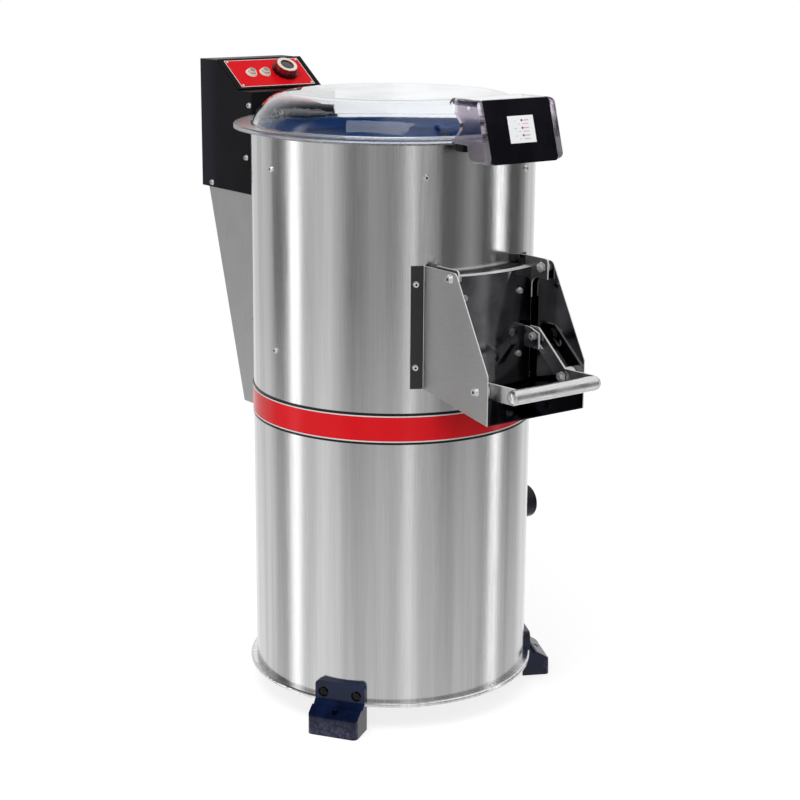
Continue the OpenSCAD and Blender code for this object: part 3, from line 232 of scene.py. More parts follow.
# %% Straight grain, marks and moulded grain groups
def straight_brushed_grain():
    tree, given, result = group(
        "Straight brushed grain",
        [("Place", VECTOR, None), ("Stretch", VECTOR, (900.0, 900.0, 20.0)), ("Depth", VALUE, 0.1)],
        [("Scratch", VALUE), ("Normal", VECTOR)])
    stretched = add(tree, "ShaderNodeVectorMath", {"operation": "MULTIPLY"})
    for socket, value in zip(stretched.inputs, (given["Place"], given["Stretch"])):
        feed(tree, socket, value)
    fine = noise(tree, stretched.outputs[0], 1.0, 2.0, 0.6)
    put_out(tree, result, Scratch=fine, Normal=bumped(tree, fine, given["Depth"], 0.0003))
    return tree


def handling_marks():
    tree, given, result = group(
        "Handling marks",
        [("Place", VECTOR, None), ("Size", VALUE, 9.0), ("Low", VALUE, 0.2), ("High", VALUE, 0.3)],
        [("Roughness", VALUE), ("Patch", VALUE)])
    patch = remap(tree, noise(tree, given["Place"], given["Size"], 5.0, 0.55), 0.35, 0.68)
    span = maths(tree, "SUBTRACT", given["High"], given["Low"])
    rough = maths(tree, "ADD", maths(tree, "MULTIPLY", patch, span), given["Low"])
    put_out(tree, result, Roughness=rough, Patch=patch)
    return tree


def moulded_grain():
    tree, given, result = group(
        "Moulded grain",
        [("Place", VECTOR, None), ("Scale", VALUE, 900.0), ("Depth", VALUE, 0.15)],
        [("Grain", VALUE), ("Normal", VECTOR)])
    speck = noise(tree, given["Place"], given["Scale"], 3.0, 0.7)
    put_out(tree, result, Grain=speck, Normal=bumped(tree, speck, given["Depth"], 0.0003))
    return tree


flat_grain, marks, moulded = straight_brushed_grain(), handling_marks(), moulded_grain()
print("made", flat_grain.name, marks.name, moulded.name)

# %% [markdown]
# ## Material starter
#
# Each finish begins the same way: an empty material with a Principled shader and the place of
# the surface in the object's own coordinates. Numbers that stay the same all over are set
# straight on the shader. A finish is then built in layers: each tint or roughening is laid
# over what feeds the shader already.

# %% Material starter
class Finish:
    def __init__(self, name, **sockets):
        self.material = bpy.data.materials.new(name)
        self.material.use_nodes = True
        self.tree = self.material.node_tree
        self.shader = self.tree.nodes["Principled BSDF"]
        for key, value in sockets.items():
            self.shader.inputs[key.replace("_", " ")].default_value = value
        coordinates = self.tree.nodes.new("ShaderNodeTexCoord").outputs
        self.place = coordinates["Object"]
        self.normal = coordinates["Normal"]
        self.xyz = split(self.tree, self.place)

    def use(self, which, **sockets):
        node = add(self.tree, "ShaderNodeGroup", {"node_tree": which})
        for key, value in {"Place": self.place, **sockets}.items():
            feed(self.tree, node.inputs[key], value)
        return node.outputs

    def set(self, **links):
        for key, value in links.items():
            self.tree.links.new(value, self.shader.inputs[key.replace("_", " ")])
        return self

    def now(self, socket):
        """What feeds a socket of the shader at present."""
        return self.shader.inputs[socket].links[0].from_socket

    def tint(self, mask, colour):
        return self.set(Base_Color=blend_colours(self.tree, mask, self.now("Base Color"), colour))

    def roughen(self, mask, amount):
        more = maths(self.tree, "MULTIPLY", mask, amount)
        return self.set(Roughness=maths(self.tree, "ADD", self.now("Roughness"), more))

    def across(self):
        """Distance to either side of the middle plane."""
        return maths(self.tree, "ABSOLUTE", self.xyz["X"])

    def forward(self):
        """Distance in front of the drum's axis."""
        return maths(self.tree, "MULTIPLY", self.xyz["Y"], -1.0)

    def radius(self):
        """Distance from the drum's axis."""
        return length(self.tree, combine(self.tree, X=self.xyz["X"], Y=self.xyz["Y"]))

    def faces(self, axis):
        """How squarely the surface looks along an axis, either way, from 0 to 1."""
        return maths(self.tree, "ABSOLUTE", split(self.tree, self.normal)[axis])


def dress(finish, *names):
    for name in names:
        piece = nodes[name]
        if not piece.material_slots:
            piece.data.materials.append(None)
        for slot in piece.material_slots:
            slot.material = finish.material
    print(finish.material.name, "on", len(names), "nodes")
    return finish


# %% [markdown]
# ## Drum sheet
#
# The drum is rolled from belt-ground stainless sheet. Its bands of light come from the room,
# but each pass of the belt also leaves its own tone, which is a broad soft streak here. The
# roughness follows the fine scratches. Inside, the wall has the blue lining of the chamber.

# %% Drum sheet
DRUM_INSIDE = 0.2585
LINING_BLUE = rgb(0.034, 0.15, 0.50)


def brushed_drum(name, low, high, streaks, rough_low, rough_high):
    finish = Finish(name, Metallic=1.0)
    tree = finish.tree
    grain = finish.use(round_grain, Streaks=streaks)
    wiped = finish.use(marks, Size=3.0, Low=rough_low, High=rough_high)
    tone = remap(tree, grain["Streak"], 0.3, 0.7, low, high)
    scratched = remap(tree, grain["Scratch"], 0.3, 0.7, 0.94, 1.04, smooth=False)
    scratch_rough = remap(tree, grain["Scratch"], 0.3, 0.7, -0.03, 0.05, smooth=False)
    return finish.set(Base_Color=grey_from(tree, maths(tree, "MULTIPLY", tone, scratched), 1.01),
                      Roughness=maths(tree, "ADD", wiped["Roughness"], scratch_rough),
                      Normal=grain["Normal"])


def lined_drum():
    finish = brushed_drum("Belt-ground drum sheet", 0.56, 0.68, 9.0, 0.12, 0.18)
    inner = below(finish.tree, finish.radius(), DRUM_INSIDE)
    return finish.tint(inner, LINING_BLUE).set(Metallic=without(finish.tree, inner))


dress(lined_drum(), "upper_drum")
dress(brushed_drum("Belt-ground lower sheet", 0.56, 0.68, 9.0, 0.12, 0.18), "lower_drum")
dress(brushed_drum("Rolled bead steel", 0.72, 0.86, 30.0, 0.14, 0.2), "base_bead")
# The rim bead's dark tone is painted shade: the thin shadow line under the lid's flange.
dress(brushed_drum("Shaded rim bead", 0.22, 0.34, 30.0, 0.2, 0.3), "rim_bead")

# %% [markdown]
# ## Folded polished sheet
#
# The chute, the door and the handle arms are mirror sheet. Where such a sheet is folded and
# screwed to the drum it shows satin on its outer side. Its polished inner side is given a near
# black tone, a painted dark reflection, and each sheared edge a pale line, a painted highlight.
# The object's own normal tells an edge from a face: on upright sheet that runs front to back, an
# edge doesn't look sideways.

# %% Folded polished sheet
SQUARE_ON = 0.5        # a face looks along an axis above this, and is an edge below it
PLATE_OUT = 0.109      # outer face of a side plate, from the middle
FLANGE_REACH = 0.2648  # the plates' flanges lie within this distance of the axis
EAR_IN = 0.0978        # the door's ears stand outside this
BRACKET_IN, BRACKET_FRONT = 0.0785, -0.290
SKIN_FRONT = 0.279     # the skin's top edge gets a painted highlight beyond this distance of the axis, and painted shadow within it
PALER_FROM, PALER_FULL = 0.385, 0.415


def polished_sheet(name, dark, rough_low, rough_high):
    finish = Finish(name, Metallic=1.0)
    wiped = finish.use(marks, Size=14.0, Low=rough_low, High=rough_high)
    # The low tone stands in for the dark surroundings that the mirror shows: painted dark reflection.
    tone = remap(finish.tree, wiped["Patch"], 0.0, 1.0, dark * 0.85, dark * 1.2)
    return finish.set(Base_Color=grey_from(finish.tree, tone, 1.06), Roughness=wiped["Roughness"])


def painted_edge_highlight(finish, mask):
    """Sheared edges are torn and rough and less metallic, and their pale tint is a painted highlight."""
    tree = finish.tree
    metallic = without(tree, maths(tree, "MULTIPLY", mask, 0.75))
    return finish.tint(mask, grey(0.82)).roughen(mask, 0.25).set(Metallic=metallic)


def plate_finish():
    finish = polished_sheet("Chute side sheet", 0.16, 0.07, 0.13)
    tree = finish.tree
    across = finish.across()
    outside = above(tree, across, PLATE_OUT - 0.0005)
    flange = both(tree, below(tree, finish.radius(), FLANGE_REACH),
                  above(tree, across, PLATE_OUT + 0.0006))
    satin = finish.use(flat_grain, Stretch=(30.0, 60.0, 900.0), Depth=0.02)
    satin_tone = grey_from(tree, remap(tree, satin["Scratch"], 0.2, 0.8, 0.36, 0.42))
    # The flanges that lie on the drum are tinted near black: painted shade between sheet and drum.
    finish.tint(outside, satin_tone).tint(flange, grey(0.06)).roughen(outside, 0.3)
    sheared = below(tree, finish.faces("X"), SQUARE_ON)
    return painted_edge_highlight(finish.set(Normal=satin["Normal"]), both(tree, sheared, without(tree, flange)))


def door_finish():
    finish = polished_sheet("Door sheet", 0.24, 0.08, 0.16)
    tree = finish.tree
    across = finish.across()
    ear = above(tree, across, EAR_IN)
    bracket = both(tree, below(tree, finish.xyz["Y"], BRACKET_FRONT), above(tree, across, BRACKET_IN))
    top = above(tree, finish.faces("Z"), SQUARE_ON)
    front = above(tree, finish.radius(), SKIN_FRONT)
    # The top face behind the bright edge is tinted near black: the painted shadow of the gap between
    # door and drum.
    finish.tint(both(tree, top, without(tree, front)), grey(0.03))
    finish.tint(ear, grey(0.26)).roughen(ear, 0.25)
    sheared = both(tree, below(tree, finish.faces("X"), SQUARE_ON),
                   maths(tree, "MAXIMUM", ear, bracket))
    return painted_edge_highlight(finish, maths(tree, "MAXIMUM", both(tree, top, front), sheared))


def floor_sheet_finish():
    finish = polished_sheet("Chute floor sheet", 0.07, 0.06, 0.12)
    # The blue cast is a painted navy reflection.
    navy_reflection = blend_colours(finish.tree, 1.0, finish.now("Base Color"), rgb(0.62, 0.7, 1.0), "MULTIPLY")
    return finish.set(Base_Color=navy_reflection)


def arm_finish():
    finish = polished_sheet("Handle arm sheet", 0.26, 0.12, 0.2)
    tree = finish.tree
    # Paler and rougher towards the front.
    pale_front = remap(tree, finish.forward(), PALER_FROM, PALER_FULL)
    finish.tint(pale_front, grey(0.66)).roughen(pale_front, 0.22)
    return painted_edge_highlight(finish, below(tree, finish.faces("X"), SQUARE_ON))


dress(plate_finish(), "chute_left", "chute_right")
dress(polished_sheet("Dark mirror sheet", 0.16, 0.08, 0.16), "door_liner")
dress(door_finish(), "door_skin")
dress(floor_sheet_finish(), "chute_floor")
dress(arm_finish(), "bail_arms")

# %% [markdown]
# ## Handle tube, duct and other plain steel
#
# The tube is brushed along its length and worn bright by hands. The duct behind the drum is
# thin satin sheet with an upright grain.

# %% Plain steels
def straight_steel(name, low, high, stretch, rough_low, rough_high, metallic=1.0):
    finish = Finish(name, Metallic=metallic)
    grain = finish.use(flat_grain, Stretch=stretch, Depth=0.12)
    wiped = finish.use(marks, Size=22.0, Low=rough_low, High=rough_high)
    tone = grey_from(finish.tree, remap(finish.tree, grain["Scratch"], 0.25, 0.75, low, high))
    return finish.set(Base_Color=tone, Roughness=wiped["Roughness"], Normal=grain["Normal"])


dress(straight_steel("Hand-worn tube steel", 0.62, 0.8, (40.0, 900.0, 900.0), 0.22, 0.36),
      "bail_tube")
dress(straight_steel("Duct sheet", 0.50, 0.56, (900.0, 900.0, 14.0), 0.34, 0.38), "rear_duct")
dress(straight_steel("Plain inner sheet", 0.5, 0.62, (500.0, 40.0, 500.0), 0.3, 0.42),
      "base_plate", "chamber_pan", "motor_plate", "hinge_bracket", "hinge_leaf")
dress(straight_steel("Turned steel", 0.6, 0.78, (60.0, 60.0, 1400.0), 0.14, 0.26),
      "main_shaft", "motor_shaft", "bearings", "disc_nut", "hinge_pin", "water_inlet")
bright = dress(straight_steel("Bright fasteners", 0.66, 0.86, (700.0, 700.0, 700.0), 0.12, 0.22, 0.7),
               "box_screws", "door_hinge_bolts", "bail_pivot_bolts", "drum_screws", "link_bolts",
               "door_screws")
# The foot bolts are made near black as painted shade of the recesses they sit in.
dress(straight_steel("Recess-shade foot bolts", 0.01, 0.03, (300.0, 300.0, 300.0), 0.2, 0.35),
      "foot_bolts")
dress(straight_steel("Painted castings", 0.2, 0.28, (260.0, 260.0, 260.0), 0.45, 0.6, 0.2),
      "bearing_housing", "driven_pulley", "motor_pulley", "motor_body")

# %% [markdown]
# ## Trim band
#
# A gloss film wraps the seam. It is red, with a black stripe along each edge and a fine line
# of white between, so the height alone picks the colour. The hoop in the frame gets the same
# finish; the film itself is made further on.

# %% Trim band
SEAM = 0.571
FILM_HALF = 0.0282
BLACK_STRIPE, WHITE_AND_BLACK = 0.0042, 0.0064  # widths from the film's edge


def band_finish():
    finish = Finish("Red trim film", Metallic=0.0, IOR=1.5, Specular_IOR_Level=0.18)
    tree = finish.tree
    wiped = finish.use(marks, Size=8.0, Low=0.16, High=0.26)
    off = maths(tree, "ABSOLUTE", maths(tree, "SUBTRACT", finish.xyz["Z"], SEAM))
    red = blend_colours(tree, wiped["Patch"], rgb(0.77, 0.007, 0.013), rgb(0.86, 0.010, 0.018))
    finish.set(Base_Color=red, Roughness=wiped["Roughness"])
    finish.tint(above(tree, off, FILM_HALF - WHITE_AND_BLACK), grey(0.8))
    return finish.tint(above(tree, off, FILM_HALF - BLACK_STRIPE), grey(0.012))


trim_red = dress(band_finish(), "trim_band")

# %% [markdown]
# ## Control box and panel
#
# The box is powder-coated sheet: satin black with the fine orange peel of the powder. Towards
# its back it is a little paler and bluer, which is a painted sheen. The panel is a printed film
# with a black border, a thin silver line and a red field. Its pattern lies in the panel's own
# plane, so a Mapping node first turns the place into that plane.

# %% Box and panel finishes
PANEL_SLOPE = math.atan2(0.054, 0.078)
PANEL_MIDDLE = (0.0, 0.417, 1.142)
PANEL = Matrix.Translation(PANEL_MIDDLE) @ Matrix.Rotation(PANEL_SLOPE, 4, "X")
PANEL_HALF = (0.0975, 0.0464)
PANEL_BORDER = (0.0115, 0.0055)
SILVER_LINE = 0.0011
BOX_SHEEN_FROM, BOX_SHEEN_FULL = 0.44, 0.515


def powder_coat():
    finish = Finish("Black powder coat", Metallic=0.0, IOR=1.5, Specular_IOR_Level=0.04)
    tree = finish.tree
    peel = finish.use(moulded, Scale=380.0, Depth=0.2)
    wiped = finish.use(marks, Size=6.0, Low=0.3, High=0.42)
    black = blend_colours(tree, wiped["Patch"], rgb(0.0060, 0.0060, 0.0070), rgb(0.0105, 0.0105, 0.0130))
    finish.set(Base_Color=black, Roughness=wiped["Roughness"], Normal=peel["Normal"])
    # Paler and bluer towards the back: a painted sheen.
    rear_sheen = remap(tree, finish.xyz["Y"], BOX_SHEEN_FROM, BOX_SHEEN_FULL)
    return finish.tint(rear_sheen, rgb(0.021, 0.020, 0.030))


def on_panel(finish):
    """The place across the panel, up its slope and above it."""
    flat = add(finish.tree, "ShaderNodeMapping", {"vector_type": "TEXTURE"}, Vector=finish.place,
               Location=PANEL_MIDDLE, Rotation=(PANEL_SLOPE, 0.0, 0.0))
    return tuple(split(finish.tree, flat.outputs[0]))


def panel_finish():
    finish = Finish("Printed control panel", Metallic=0.0, IOR=1.5, Specular_IOR_Level=0.04)
    tree = finish.tree
    wiped = finish.use(marks, Size=12.0, Low=0.2, High=0.3)
    insets = [maths(tree, "SUBTRACT", half - border, maths(tree, "ABSOLUTE", place))
              for half, border, place in zip(PANEL_HALF, PANEL_BORDER, on_panel(finish))]
    inset = maths(tree, "MINIMUM", *insets)
    red = blend_colours(tree, wiped["Patch"], rgb(0.60, 0.004, 0.009), rgb(0.66, 0.006, 0.012))
    finish.set(Base_Color=red, Roughness=wiped["Roughness"])
    finish.tint(below(tree, inset, SILVER_LINE), grey(0.75))
    return finish.tint(below(tree, inset, 0.0), grey(0.003))


dress(powder_coat(), "control_box", "box_cover")
dress(panel_finish(), "fascia")

# %% [markdown]
# ## Plastics and rubber
#
# The feet are moulded in dark blue plastic, the spigot and the small fittings in blue-black.
# Where a foot is kicked and mopped its outer face turns grey, so a noise masks a paler tone by
# distance from the drum's axis and by height. The buttons are pale with a green-grey cap, and
# the knob is black with a dark red crown.

# %% Plastics and rubber
FOOT_OUTER_FROM, FOOT_OUTER_FULL = 0.298, 0.309
SCUFFS_END, SCUFFS_FULL = 0.04, 0.012
BUTTONS_MIDDLE, BUTTONS_APART = -0.027, 0.016
BUTTON_CAP = (0.0064, 0.0056)
CROWN_FROM = 0.0098


def plastic(name, dark, light, rough_low, rough_high, scale=900.0, depth=0.12, **sockets):
    finish = Finish(name, Metallic=0.0, **sockets)
    grain = finish.use(moulded, Scale=scale, Depth=depth)
    wiped = finish.use(marks, Size=18.0, Low=rough_low, High=rough_high)
    colour = blend_colours(finish.tree, wiped["Patch"], rgb(*dark), rgb(*light))
    return finish.set(Base_Color=colour, Roughness=wiped["Roughness"], Normal=grain["Normal"])


def worn_foot():
    finish = plastic("Scuffed foot plastic", (0.0010, 0.0040, 0.020), (0.0028, 0.011, 0.052),
                     0.14, 0.24, Specular_IOR_Level=0.35)
    tree = finish.tree
    outer = both(tree, remap(tree, finish.radius(), FOOT_OUTER_FROM, FOOT_OUTER_FULL),
                 remap(tree, finish.xyz["Z"], SCUFFS_END, SCUFFS_FULL))
    scuffs = remap(tree, noise(tree, finish.place, 110.0, 7.0, 0.7), 0.42, 0.62)
    return finish.tint(both(tree, outer, scuffs), rgb(0.055, 0.055, 0.11))


def button_finish():
    finish = plastic("Push-button plastic", (0.60, 0.55, 0.48), (0.68, 0.64, 0.57), 0.3, 0.42)
    tree = finish.tree
    u, v = on_panel(finish)[:2]
    from_middle = maths(tree, "ABSOLUTE", maths(tree, "ADD", u, -BUTTONS_MIDDLE))
    off = maths(tree, "SUBTRACT", from_middle, BUTTONS_APART)
    cap = remap(tree, length(tree, combine(tree, X=off, Y=v)), *BUTTON_CAP)
    return finish.tint(cap, rgb(0.20, 0.21, 0.15))


def knob_finish():
    finish = plastic("Two-tone knob plastic", (0.006, 0.005, 0.006), (0.012, 0.010, 0.012), 0.16, 0.26)
    crown = above(finish.tree, on_panel(finish)[2], CROWN_FROM)
    return finish.tint(crown, rgb(0.27, 0.012, 0.020))


dress(worn_foot(), "feet")
dress(plastic("Blue-black moulded plastic", (0.003, 0.004, 0.008), (0.007, 0.008, 0.014), 0.26, 0.4,
              Specular_IOR_Level=0.25),
      "drain_spigot", "drain_elbow", "cable_gland", "switch_block", "lid_switch", "lid_magnet")
white_nylon = dress(plastic("Turned white nylon", (0.74, 0.73, 0.69), (0.82, 0.81, 0.78), 0.4, 0.5,
                            scale=500.0),
                    "pivot_spacers", "timer_body")
dress(plastic("Pale bezel plastic", (0.74, 0.66, 0.58), (0.84, 0.78, 0.72), 0.25, 0.35),
      "button_bezels")
dress(button_finish(), "start_button", "stop_button")
dress(knob_finish(), "timer_knob")
dress(plastic("Gloss black handle plate", (0.003, 0.003, 0.005), (0.005, 0.005, 0.009), 0.10, 0.18,
              scale=200.0, depth=0.02, Specular_IOR_Level=0.15),
      "handle_panel")
dress(plastic("Black rubber", (0.012, 0.012, 0.013), (0.024, 0.024, 0.026), 0.6, 0.8,
              scale=1200.0, depth=0.3),
      "door_gasket", "drive_belt", "shaft_seal")
dress(plastic("Dark blue seal rubber", (0.028, 0.13, 0.44), (0.036, 0.16, 0.54), 0.2, 0.3),
      "rim_seal")

# %% [markdown]
# ## Grit
#
# The liner and the disc are coated with silicon carbide grains set in blue resin. Cells of
# about two millimetres give the grains, and their distance field gives the bump. A few grains
# are smoother and tinted paler, a painted glint.

# %% Grit
def grit():
    finish = Finish("Carbide grit in blue resin", Metallic=0.0, IOR=1.55)
    tree = finish.tree
    grains = add(tree, "ShaderNodeTexVoronoi", Vector=finish.place, Scale=420.0).outputs
    drawn = add(tree, "ShaderNodeSeparateColor", Color=grains["Color"]).outputs[0]
    painted_glint = remap(tree, drawn, 0.86, 0.99)
    resin = blend_colours(tree, remap(tree, grains["Distance"], 0.0, 0.6),
                          rgb(0.030, 0.11, 0.40), rgb(0.006, 0.026, 0.12))
    finish.set(Base_Color=resin, Roughness=remap(tree, painted_glint, 0.0, 1.0, 0.5, 0.2),
               Normal=bumped(tree, grains["Distance"], 0.6, 0.001, invert=True))
    # The paler grains are a painted glint.
    return finish.tint(painted_glint, rgb(0.30, 0.36, 0.5))


dress(grit(), "abrasive_liner", "abrasive_disc")

# %% [markdown]
# ## Clear lid
#
# The lid is one clear polycarbonate moulding. It keeps full transmission on the shader, a
# slight blue in its colour, and fine wipe marks in its roughness. The cheeks at the sides of
# its handle are smoky, and the flange that lies on the rim is frosted.

# %% Clear lid
CHEEK_IN, CHEEK_OUT, CHEEK_FRONT = 0.0722, 0.0848, -0.285
FROST_FROM, FROST_TOP = 0.2605, 1.0818


def clear_lid():
    finish = Finish("Clear moulded lid", Metallic=0.0, IOR=1.45, Transmission_Weight=1.0)
    tree = finish.tree
    wiped = finish.use(marks, Size=7.0, Low=0.0, High=0.05)
    clear = blend_colours(tree, wiped["Patch"], rgb(0.97, 0.985, 1.0), rgb(0.93, 0.95, 0.985))
    finish.set(Base_Color=clear, Roughness=wiped["Roughness"])
    across = finish.across()
    at_side = both(tree, above(tree, across, CHEEK_IN), below(tree, across, CHEEK_OUT))
    cheek = both(tree, at_side, below(tree, finish.xyz["Y"], CHEEK_FRONT))
    flange = both(tree, above(tree, finish.radius(), FROST_FROM),
                  below(tree, finish.xyz["Z"], FROST_TOP))
    return finish.tint(cheek, rgb(0.50, 0.44, 0.51)).roughen(cheek, 0.11).roughen(flange, 0.24)


dress(clear_lid(), "lid_dome")

# %% [markdown]
# ## Making a piece
#
# Small trim is modelled with bmesh operators and put on the body that carries it. The mesh
# holds the place, so the object stays at the origin. Most pieces are a slab, a turned shape or
# a domed head, and several of a kind are joined into one piece.

# %% Piece maker
BOTH_SIDES = (-1, 1)
CREASE = 35.0  # degrees; a sharper corner than this keeps its edge


def make_piece(name, mesh_builder, body, finish, crease=None):
    mesh = bpy.data.meshes.new(name)
    mesh_builder.to_mesh(mesh)
    mesh_builder.free()
    mesh.materials.append(finish.material)
    if crease is not None:
        mesh.shade_smooth()
        mesh.set_sharp_from_angle(angle=math.radians(crease))
    piece = bpy.data.objects.new(name, mesh)
    scene.collection.objects.link(piece)
    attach(piece, body)
    print(name, "has", len(mesh.polygons), "faces")
    return piece


def slab(size, at, bevel, matrix):
    bm = bmesh.new()
    bmesh.ops.create_cube(bm, size=1.0, matrix=Matrix.Diagonal((*size, 1.0)))
    if bevel:
        bmesh.ops.bevel(bm, geom=bm.edges[:], offset=bevel, affect="EDGES", segments=2,
                        profile=0.5, material=-1)
    bmesh.ops.transform(bm, matrix=matrix @ Matrix.Translation(at), verts=bm.verts)
    return bm


def turned(profile, steps, matrix):
    """Turns a half section of (radius, height) points round Z and closes it."""
    bm = bmesh.new()
    verts = [bm.verts.new((r, 0.0, z)) for r, z in profile]
    edges = [bm.edges.new(pair) for pair in zip(verts, verts[1:])]
    if profile[0][0] > 0:
        edges.append(bm.edges.new((verts[-1], verts[0])))
    bmesh.ops.spin(bm, geom=verts + edges, cent=(0, 0, 0), axis=(0, 0, 1),
                   angle=math.tau, steps=steps, use_merge=True, use_duplicate=False)
    bmesh.ops.remove_doubles(bm, verts=bm.verts, dist=1e-6)
    bmesh.ops.recalc_face_normals(bm, faces=bm.faces)
    bmesh.ops.transform(bm, matrix=matrix, verts=bm.verts)
    return bm


def domed_head(radius, height, matrix):
    """A sphere cut at its middle and flattened, as a screw's head."""
    bm = bmesh.new()
    bmesh.ops.create_uvsphere(bm, u_segments=20, v_segments=10, radius=radius,
                              matrix=Matrix.Diagonal((1.0, 1.0, height / radius, 1.0)))
    bmesh.ops.bisect_plane(bm, geom=bm.verts[:] + bm.edges[:] + bm.faces[:], plane_co=(0, 0, 0),
                           plane_no=(0, 0, -1), clear_outer=True)
    bmesh.ops.contextual_create(bm, geom=[e for e in bm.edges if e.is_boundary])
    bmesh.ops.recalc_face_normals(bm, faces=bm.faces)
    bmesh.ops.transform(bm, matrix=matrix, verts=bm.verts)
    return bm


def joined(builders):
    """Puts the meshes of a list together in the first one."""
    first, *others = builders
    holder = bpy.data.meshes.new("holder")
    for other in others:
        other.to_mesh(holder)
        other.free()
        first.from_mesh(holder)
    bpy.data.meshes.remove(holder)
    return first


def facing_out(side, x, y, z):
    """The place x to one side of the middle, with Z turned to look away from the middle."""
    return Matrix.Translation((side * x, y, z)) @ Matrix.Rotation(math.radians(90) * side, 4, "Y")


# %% [markdown]
# ## Trim film
#
# The printed film is taller than the hoop under it, so one thin ring of the film's full height
# stands for the band. It starts just clear of the drum and is as thick as the hoop.

# %% Trim film
FILM_IN, FILM_OUT = 0.2603, 0.2615
film = turned([(FILM_IN, SEAM - FILM_HALF), (FILM_OUT, SEAM - FILM_HALF),
               (FILM_OUT, SEAM + FILM_HALF), (FILM_IN, SEAM + FILM_HALF)], 192, Matrix.Identity(4))
trim_film = make_piece("trim_film", film, "machine", trim_red, CREASE)
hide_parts("trim_band")

# %% [markdown]
# ## Knob trim
#
# The knob has a cream ring on its top, a grey sunk centre and one pale pointer on its skirt.
# The ring and the centre are turned; their sections are listed from the inside out.

# %% Knob trim
KNOB = PANEL @ Matrix.Translation((0.035, 0.0, 0.0035))
RING_SECTION = [(0.0141, 0.0169), (0.0209, 0.0169), (0.0207, 0.0177), (0.0196, 0.0183),
                (0.0152, 0.0183), (0.0141, 0.0177)]
CENTRE_SECTION = [(0.0, 0.01445), (0.0137, 0.01445), (0.0137, 0.0152), (0.0120, 0.0158),
                  (0.0, 0.0160)]
cream = plastic("Cream ring plastic", (0.70, 0.62, 0.54), (0.80, 0.73, 0.66), 0.2, 0.3)
dark_cap = plastic("Grey cap plastic", (0.030, 0.034, 0.032), (0.07, 0.078, 0.066), 0.2, 0.3)
make_piece("knob_cream_ring", turned(RING_SECTION, 48, KNOB), "knob", cream, CREASE)
make_piece("knob_centre", turned(CENTRE_SECTION, 48, KNOB), "knob", dark_cap, CREASE)
make_piece("knob_pointer", slab((0.0022, 0.0028, 0.0006), (0.0, 0.0241, 0.0061), 0.0002, KNOB),
           "knob", cream)

# %% [markdown]
# ## Panel screws
#
# Four domed screws hold the panel at its corners.

# %% Panel screws
PANEL_SCREW_AT = (0.0805, 0.036, 0.0027)
screw_x, screw_y, screw_z = PANEL_SCREW_AT
heads = [domed_head(0.0028, 0.0016, PANEL @ Matrix.Translation((x, y, screw_z)))
         for x in (-screw_x, screw_x) for y in (-screw_y, screw_y)]
make_piece("panel_screws", joined(heads), "machine", bright, CREASE)

# %% [markdown]
# ## Sockets in the screw heads
#
# Every visible screw has a hexagon socket, drawn as a flat inlay whose dark colour is painted
# shade for its hollow. The heads are found in the frame's own meshes: each loose part is one
# screw, and the middle of its outermost face carries the dark six-sided inlay.
# Screws on the drum and the door face out from the axis; those through flat sheet face sideways.

# %% Sockets
OUTERMOST = 0.00005  # corners this near the furthest one belong to a head's outer face
INLAY_UNDER, INLAY_OVER = -0.0004, 0.0001


def loose_parts(name):
    """The corners of each screw in a node."""
    bm = bmesh.new()
    bm.from_mesh(nodes[name].data)
    bmesh.ops.remove_doubles(bm, verts=bm.verts, dist=1e-6)
    left = set(bm.verts)
    parts = []
    while left:
        grow = [left.pop()]
        part = []
        while grow:
            vert = grow.pop()
            part.append(vert.co.copy())
            for edge in vert.link_edges:
                other = edge.other_vert(vert)
                if other in left:
                    left.remove(other)
                    grow.append(other)
        parts.append(part)
    bm.free()
    return parts


def socket_in(part, way, radius):
    """A dark hexagon of painted shade on one screw's socket; way turns the screw's middle into the way
    it faces.
    """
    facing = way(sum(part, Vector()) / len(part)).normalized()
    reach = max(corner.dot(facing) for corner in part)
    rim = [corner for corner in part if corner.dot(facing) > reach - OUTERMOST]
    centre = Matrix.Translation(sum(rim, Vector()) / len(rim))
    turn_to = facing.to_track_quat("Z", "Y").to_matrix().to_4x4()
    section = [(0.0, INLAY_UNDER), (radius, INLAY_UNDER), (radius, INLAY_OVER), (0.0, INLAY_OVER)]
    return turned(section, 6, centre @ turn_to)


def radial(middle):
    return Vector((middle.x, middle.y, 0.0))


def outward(middle):
    return Vector((math.copysign(1.0, middle.x), 0.0, 0.0))


def inward(middle):
    return -outward(middle)


SOCKETS = (("drum_screws", radial, 0.0024, "machine"),
           ("box_screws", outward, 0.0022, "machine"),
           ("door_hinge_bolts", outward, 0.003, "machine"),
           ("bail_pivot_bolts", outward, 0.003, "machine"),
           ("door_screws", radial, 0.0022, "door"),
           ("link_bolts", inward, 0.0026, "door"))
# The inlays' near-black colour is painted shade standing for the socket's hollow.
socket_painted_shade = plastic("Socket shade", (0.006, 0.006, 0.006), (0.012, 0.012, 0.012), 0.5, 0.7)
for name, way, radius, body in SOCKETS:
    inlays = joined([socket_in(part, way, radius) for part in loose_parts(name)])
    make_piece(name + "_sockets", inlays, body, socket_painted_shade)

# %% [markdown]
# ## Spacers and cheek screws
#
# Turned white spacers keep the handle arms off the side sheets; their rim is broader than the
# bore piece in the frame. Each clear cheek of the lid has one pale screw near its top.

# %% Spacers and cheek screws
COLLAR_AT = (0.0896, -0.384, 0.668)
COLLAR_BORE, COLLAR_R, COLLAR_CHAMFER = 0.0098, 0.0150, 0.0008
COLLAR_LOW, COLLAR_HIGH = 0.0002, 0.0168
CHEEK_SCREW_AT = (0.0845, -0.322, 1.134)

